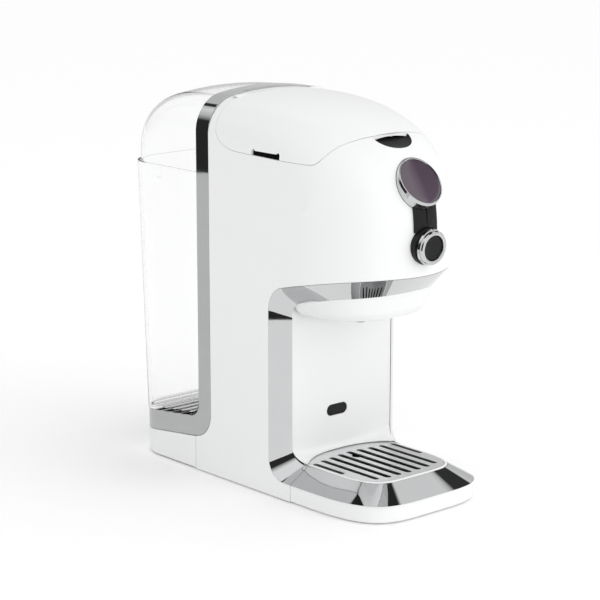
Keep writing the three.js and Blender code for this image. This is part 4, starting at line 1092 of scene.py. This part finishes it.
# ----- brewing parts under the lid -----
def brewing():
    low, high = span("brew_deck")
    outline = [(-60, -76), (-40, -103), (40, -103), (60, -76), (60, 26), (-60, 26)]
    deck = sheet_form([outline, circle(23.4, 0, POD_Y, 96)], low[2], high[2], 0.3)
    piece(deck, "deck_plate", GREY, "brew_deck", sharp=40)
    holder = rounded([(0, 236), (17, 236), (19, 260.6), (25, 262), (25, 263.4), (17.4, 263.4), (15.2, 238),
                      (0, 238)], [0, 0.8, 1, 0.4, 0.5, 0.8, 1.2, 0])
    piece(lathe_at(holder, 128, 0, POD_Y), "pod_cup", SATIN, "pod_holder")
    chamber = rounded([(5.4, 225), (9, 225), (23, 232), (23, 259), (20.4, 259), (20.4, 234), (8, 228.6),
                       (5.4, 228.6)], 0.4)
    piece(lathe_at(chamber, 96, 0, POD_Y), "chamber_bowl", ALLOY, "brew_chamber")
    press = [(0, 264.4), (2.2, 266), (15.6, 266), (16, 266.4), (16, 269.6), (15.6, 270), (9.4, 272),
             (9, 272.6), (9, 296.8), (0, 296.8)]
    piece(lathe_at(press, 96, 0, POD_Y), "press_head", STEEL, "piercing_head")


def inner_parts():
    """The sealed parts keep their CAD shapes and get real surfaces."""
    looks = {
        "display_module": BLACK, "knob_encoder": GREY, "control_board": BOARD, "valve_socket": SATIN,
        "chassis_frame": GREY, "water_pump": GREY, "heater_block": ALLOY, "pump_bracket": STEEL,
        "hose_pump_to_heater": HOSE, "hose_heater_to_chamber": HOSE, "hose_tank_to_pump": HOSE,
    }
    for node, look in looks.items():
        obj = frame["nodes"][node]
        obj.data.materials.clear()
        obj.data.materials.append(look)


casing()
lid()
vents()
recess()
trims()
panel()
spout()
controls()
tray()
grille()
band()
rear_base()
mains_inlet()
underside()
tank()
tank_cover()
brewing()
inner_parts()


# ---------- floor, light and camera ----------
def stage_plane(name, corners, z, look):
    mesh = bpy.data.meshes.new(name)
    mesh.from_pydata([(x, y, z) for x, y in corners], [], [(0, 1, 2, 3)])
    mesh.materials.append(look)
    obj = add_object(name, mesh)
    return obj


def floors():
    paper = material("paper", (0.96, 0.96, 0.96), (0.85, 0.95), tone=0.002, bump=(300.0, 0.00001),
                     Specular_IOR_Level=0.1, Emission_Color=(1, 1, 1, 1), Emission_Strength=0.05)
    far = 30.0
    wide = stage_plane("floor", [(-far, -far), (far, -far), (far, far), (-far, far)], 0.0, paper)
    wide.visible_glossy = False
    # a darker copy of the floor paper: painted shade for the floor as the chrome band reflects it
    shaded = material("shaded_paper", (0.7, 0.7, 0.7), (0.85, 0.95), tone=0.01, bump=(300.0, 0.00001),
                      Specular_IOR_Level=0.1)
    ahead, left = np.array((0.661, 0.75)), np.array((-0.75, 0.661))
    near, far = -0.675, 3.4
    # both sheets are seen only in reflections; the side sheet carries the painted shade
    for name, start, end, look in (("near", -2.6, 0.1, paper), ("side", 0.1, 1.59, shaded)):
        corners = [ahead * a + left * b for a, b in ((near, end), (near, start), (far, start), (far, end))]
        sheet = stage_plane("floor_sheet_" + name, corners, -0.0004, look)
        for ray in ("camera", "diffuse", "shadow", "transmission"):
            setattr(sheet, "visible_" + ray, False)


def studio():
    """White to the eye; in reflections a lit room with dark gaps between its soft panels."""
    world = bpy.data.worlds.new("studio")
    bpy.context.scene.world = world
    world.use_nodes = True
    tree = world.node_tree
    tree.nodes.clear()
    place = add_node(tree, "TexCoord", {}).outputs["Generated"]
    parts = add_node(tree, "SeparateXYZ", {"Vector": place})
    across, along, height = (parts.outputs[axis] for axis in "XYZ")

    def ramp(source, stops):
        low, high = stops[0][0] - 0.001, stops[-1][0] + 0.001
        scale = add_node(tree, "MapRange", {"Value": source, "From Min": low, "From Max": high})
        node = add_node(tree, "ValToRGB", {"Fac": scale.outputs["Result"]})
        elements = node.color_ramp.elements
        while len(elements) < len(stops):
            elements.new(0.5)
        for element, (at, level) in zip(elements, stops):
            element.position = (at - low) / (high - low)
            element.color = (level, level, level, 1)
        return node.outputs["Color"]

    def join(a, b, kind="MULTIPLY", factor=1.0):
        inputs = {"Factor": factor, "A": a, "B": b}
        return add_node(tree, "Mix", inputs, data_type="RGBA", blend_type=kind).outputs["Result"]

    left = ramp(height, [(-1, 0.02), (0.3, 0.03), (0.44, 0.6), (0.6, 1.0)])
    rear = ramp(height, [(-1, 0.6), (0.62, 0.62), (0.72, 0.78), (0.82, 0.98), (1, 1.0)])
    right = ramp(height, [(-1, 0.8), (0.5, 0.84), (1, 0.82)])
    pale = join(right, rear, "MIX", ramp(along, [(0.15, 0.0), (0.45, 1.0)]))
    seen = join(left, pale, "MIX", ramp(across, [(-0.3, 0.0), (-0.2, 1.0)]))
    tilt = join(height, join(across, (0.098, 0.098, 0.098, 1)), "ADD")
    overhead = ramp(tilt, [(0.885, 1.0), (0.905, 0.03)])
    seam = join(ramp(across, [(-0.2, 0.0), (-0.17, 1.0), (-0.08, 1.0), (-0.05, 0.0)]),
                ramp(along, [(0.4, 0.0), (0.5, 1.0)]))
    slit = join(ramp(across, [(0.66, 0.0), (0.7, 1.0)]),
                ramp(height, [(0.49, 0.0), (0.52, 1.0), (0.71, 1.0), (0.73, 0.0)]))
    dark = (0.04, 0.04, 0.04, 1)
    seen = join(join(seen, dark, "MIX", seam), dark, "MIX", slit)
    seen = join(seen, overhead)
    soft = join(ramp(across, [(-1, 0.8), (0, 1.0), (1, 0.97)]),
                ramp(along, [(-1, 1.0), (0, 0.97), (1, 0.95)]))
    ray = add_node(tree, "LightPath", {})
    shades = join(soft, seen, "MIX", ray.outputs["Is Glossy Ray"])
    shades = join(shades, (1, 1, 1, 1), "MIX", ray.outputs["Is Camera Ray"])
    light = add_node(tree, "Background", {"Color": shades, "Strength": 1.06})
    add_node(tree, "OutputWorld", {"Surface": light.outputs["Background"]})


def aim(obj, place, ahead):
    obj.location = place
    obj.rotation_mode = "QUATERNION"
    obj.rotation_quaternion = Vector(ahead).to_track_quat("-Z", "Y")


def soft_box(name, place, target, size, power):
    lamp = bpy.data.lights.new(name, "AREA")
    lamp.shape = "RECTANGLE"
    lamp.size, lamp.size_y = size
    lamp.energy = power
    obj = add_object(name, lamp)
    obj.visible_glossy = False
    aim(obj, place, Vector(target) - Vector(place))


def camera():
    lens = bpy.data.cameras.new("camera")
    lens.sensor_width = 36.0
    lens.lens = 123.3
    lens.clip_start = 0.05
    lens.clip_end = 100.0
    obj = add_object("camera", lens)
    aim(obj, (-1.0758, -1.2151, 0.5119), (0.6448, 0.7316, -0.2216))
    bpy.context.scene.camera = obj


floors()
studio()
soft_box("key", (0.5, -1.5, 1.3), (0, -0.02, 0.12), (1.2, 1.2), 3.0)
soft_box("fill", (0.3, -1.7, 0.35), (0, -0.02, 0.1), (1.4, 0.5), 3.4)
camera()
bpy.context.scene.view_settings.view_transform = "Standard"
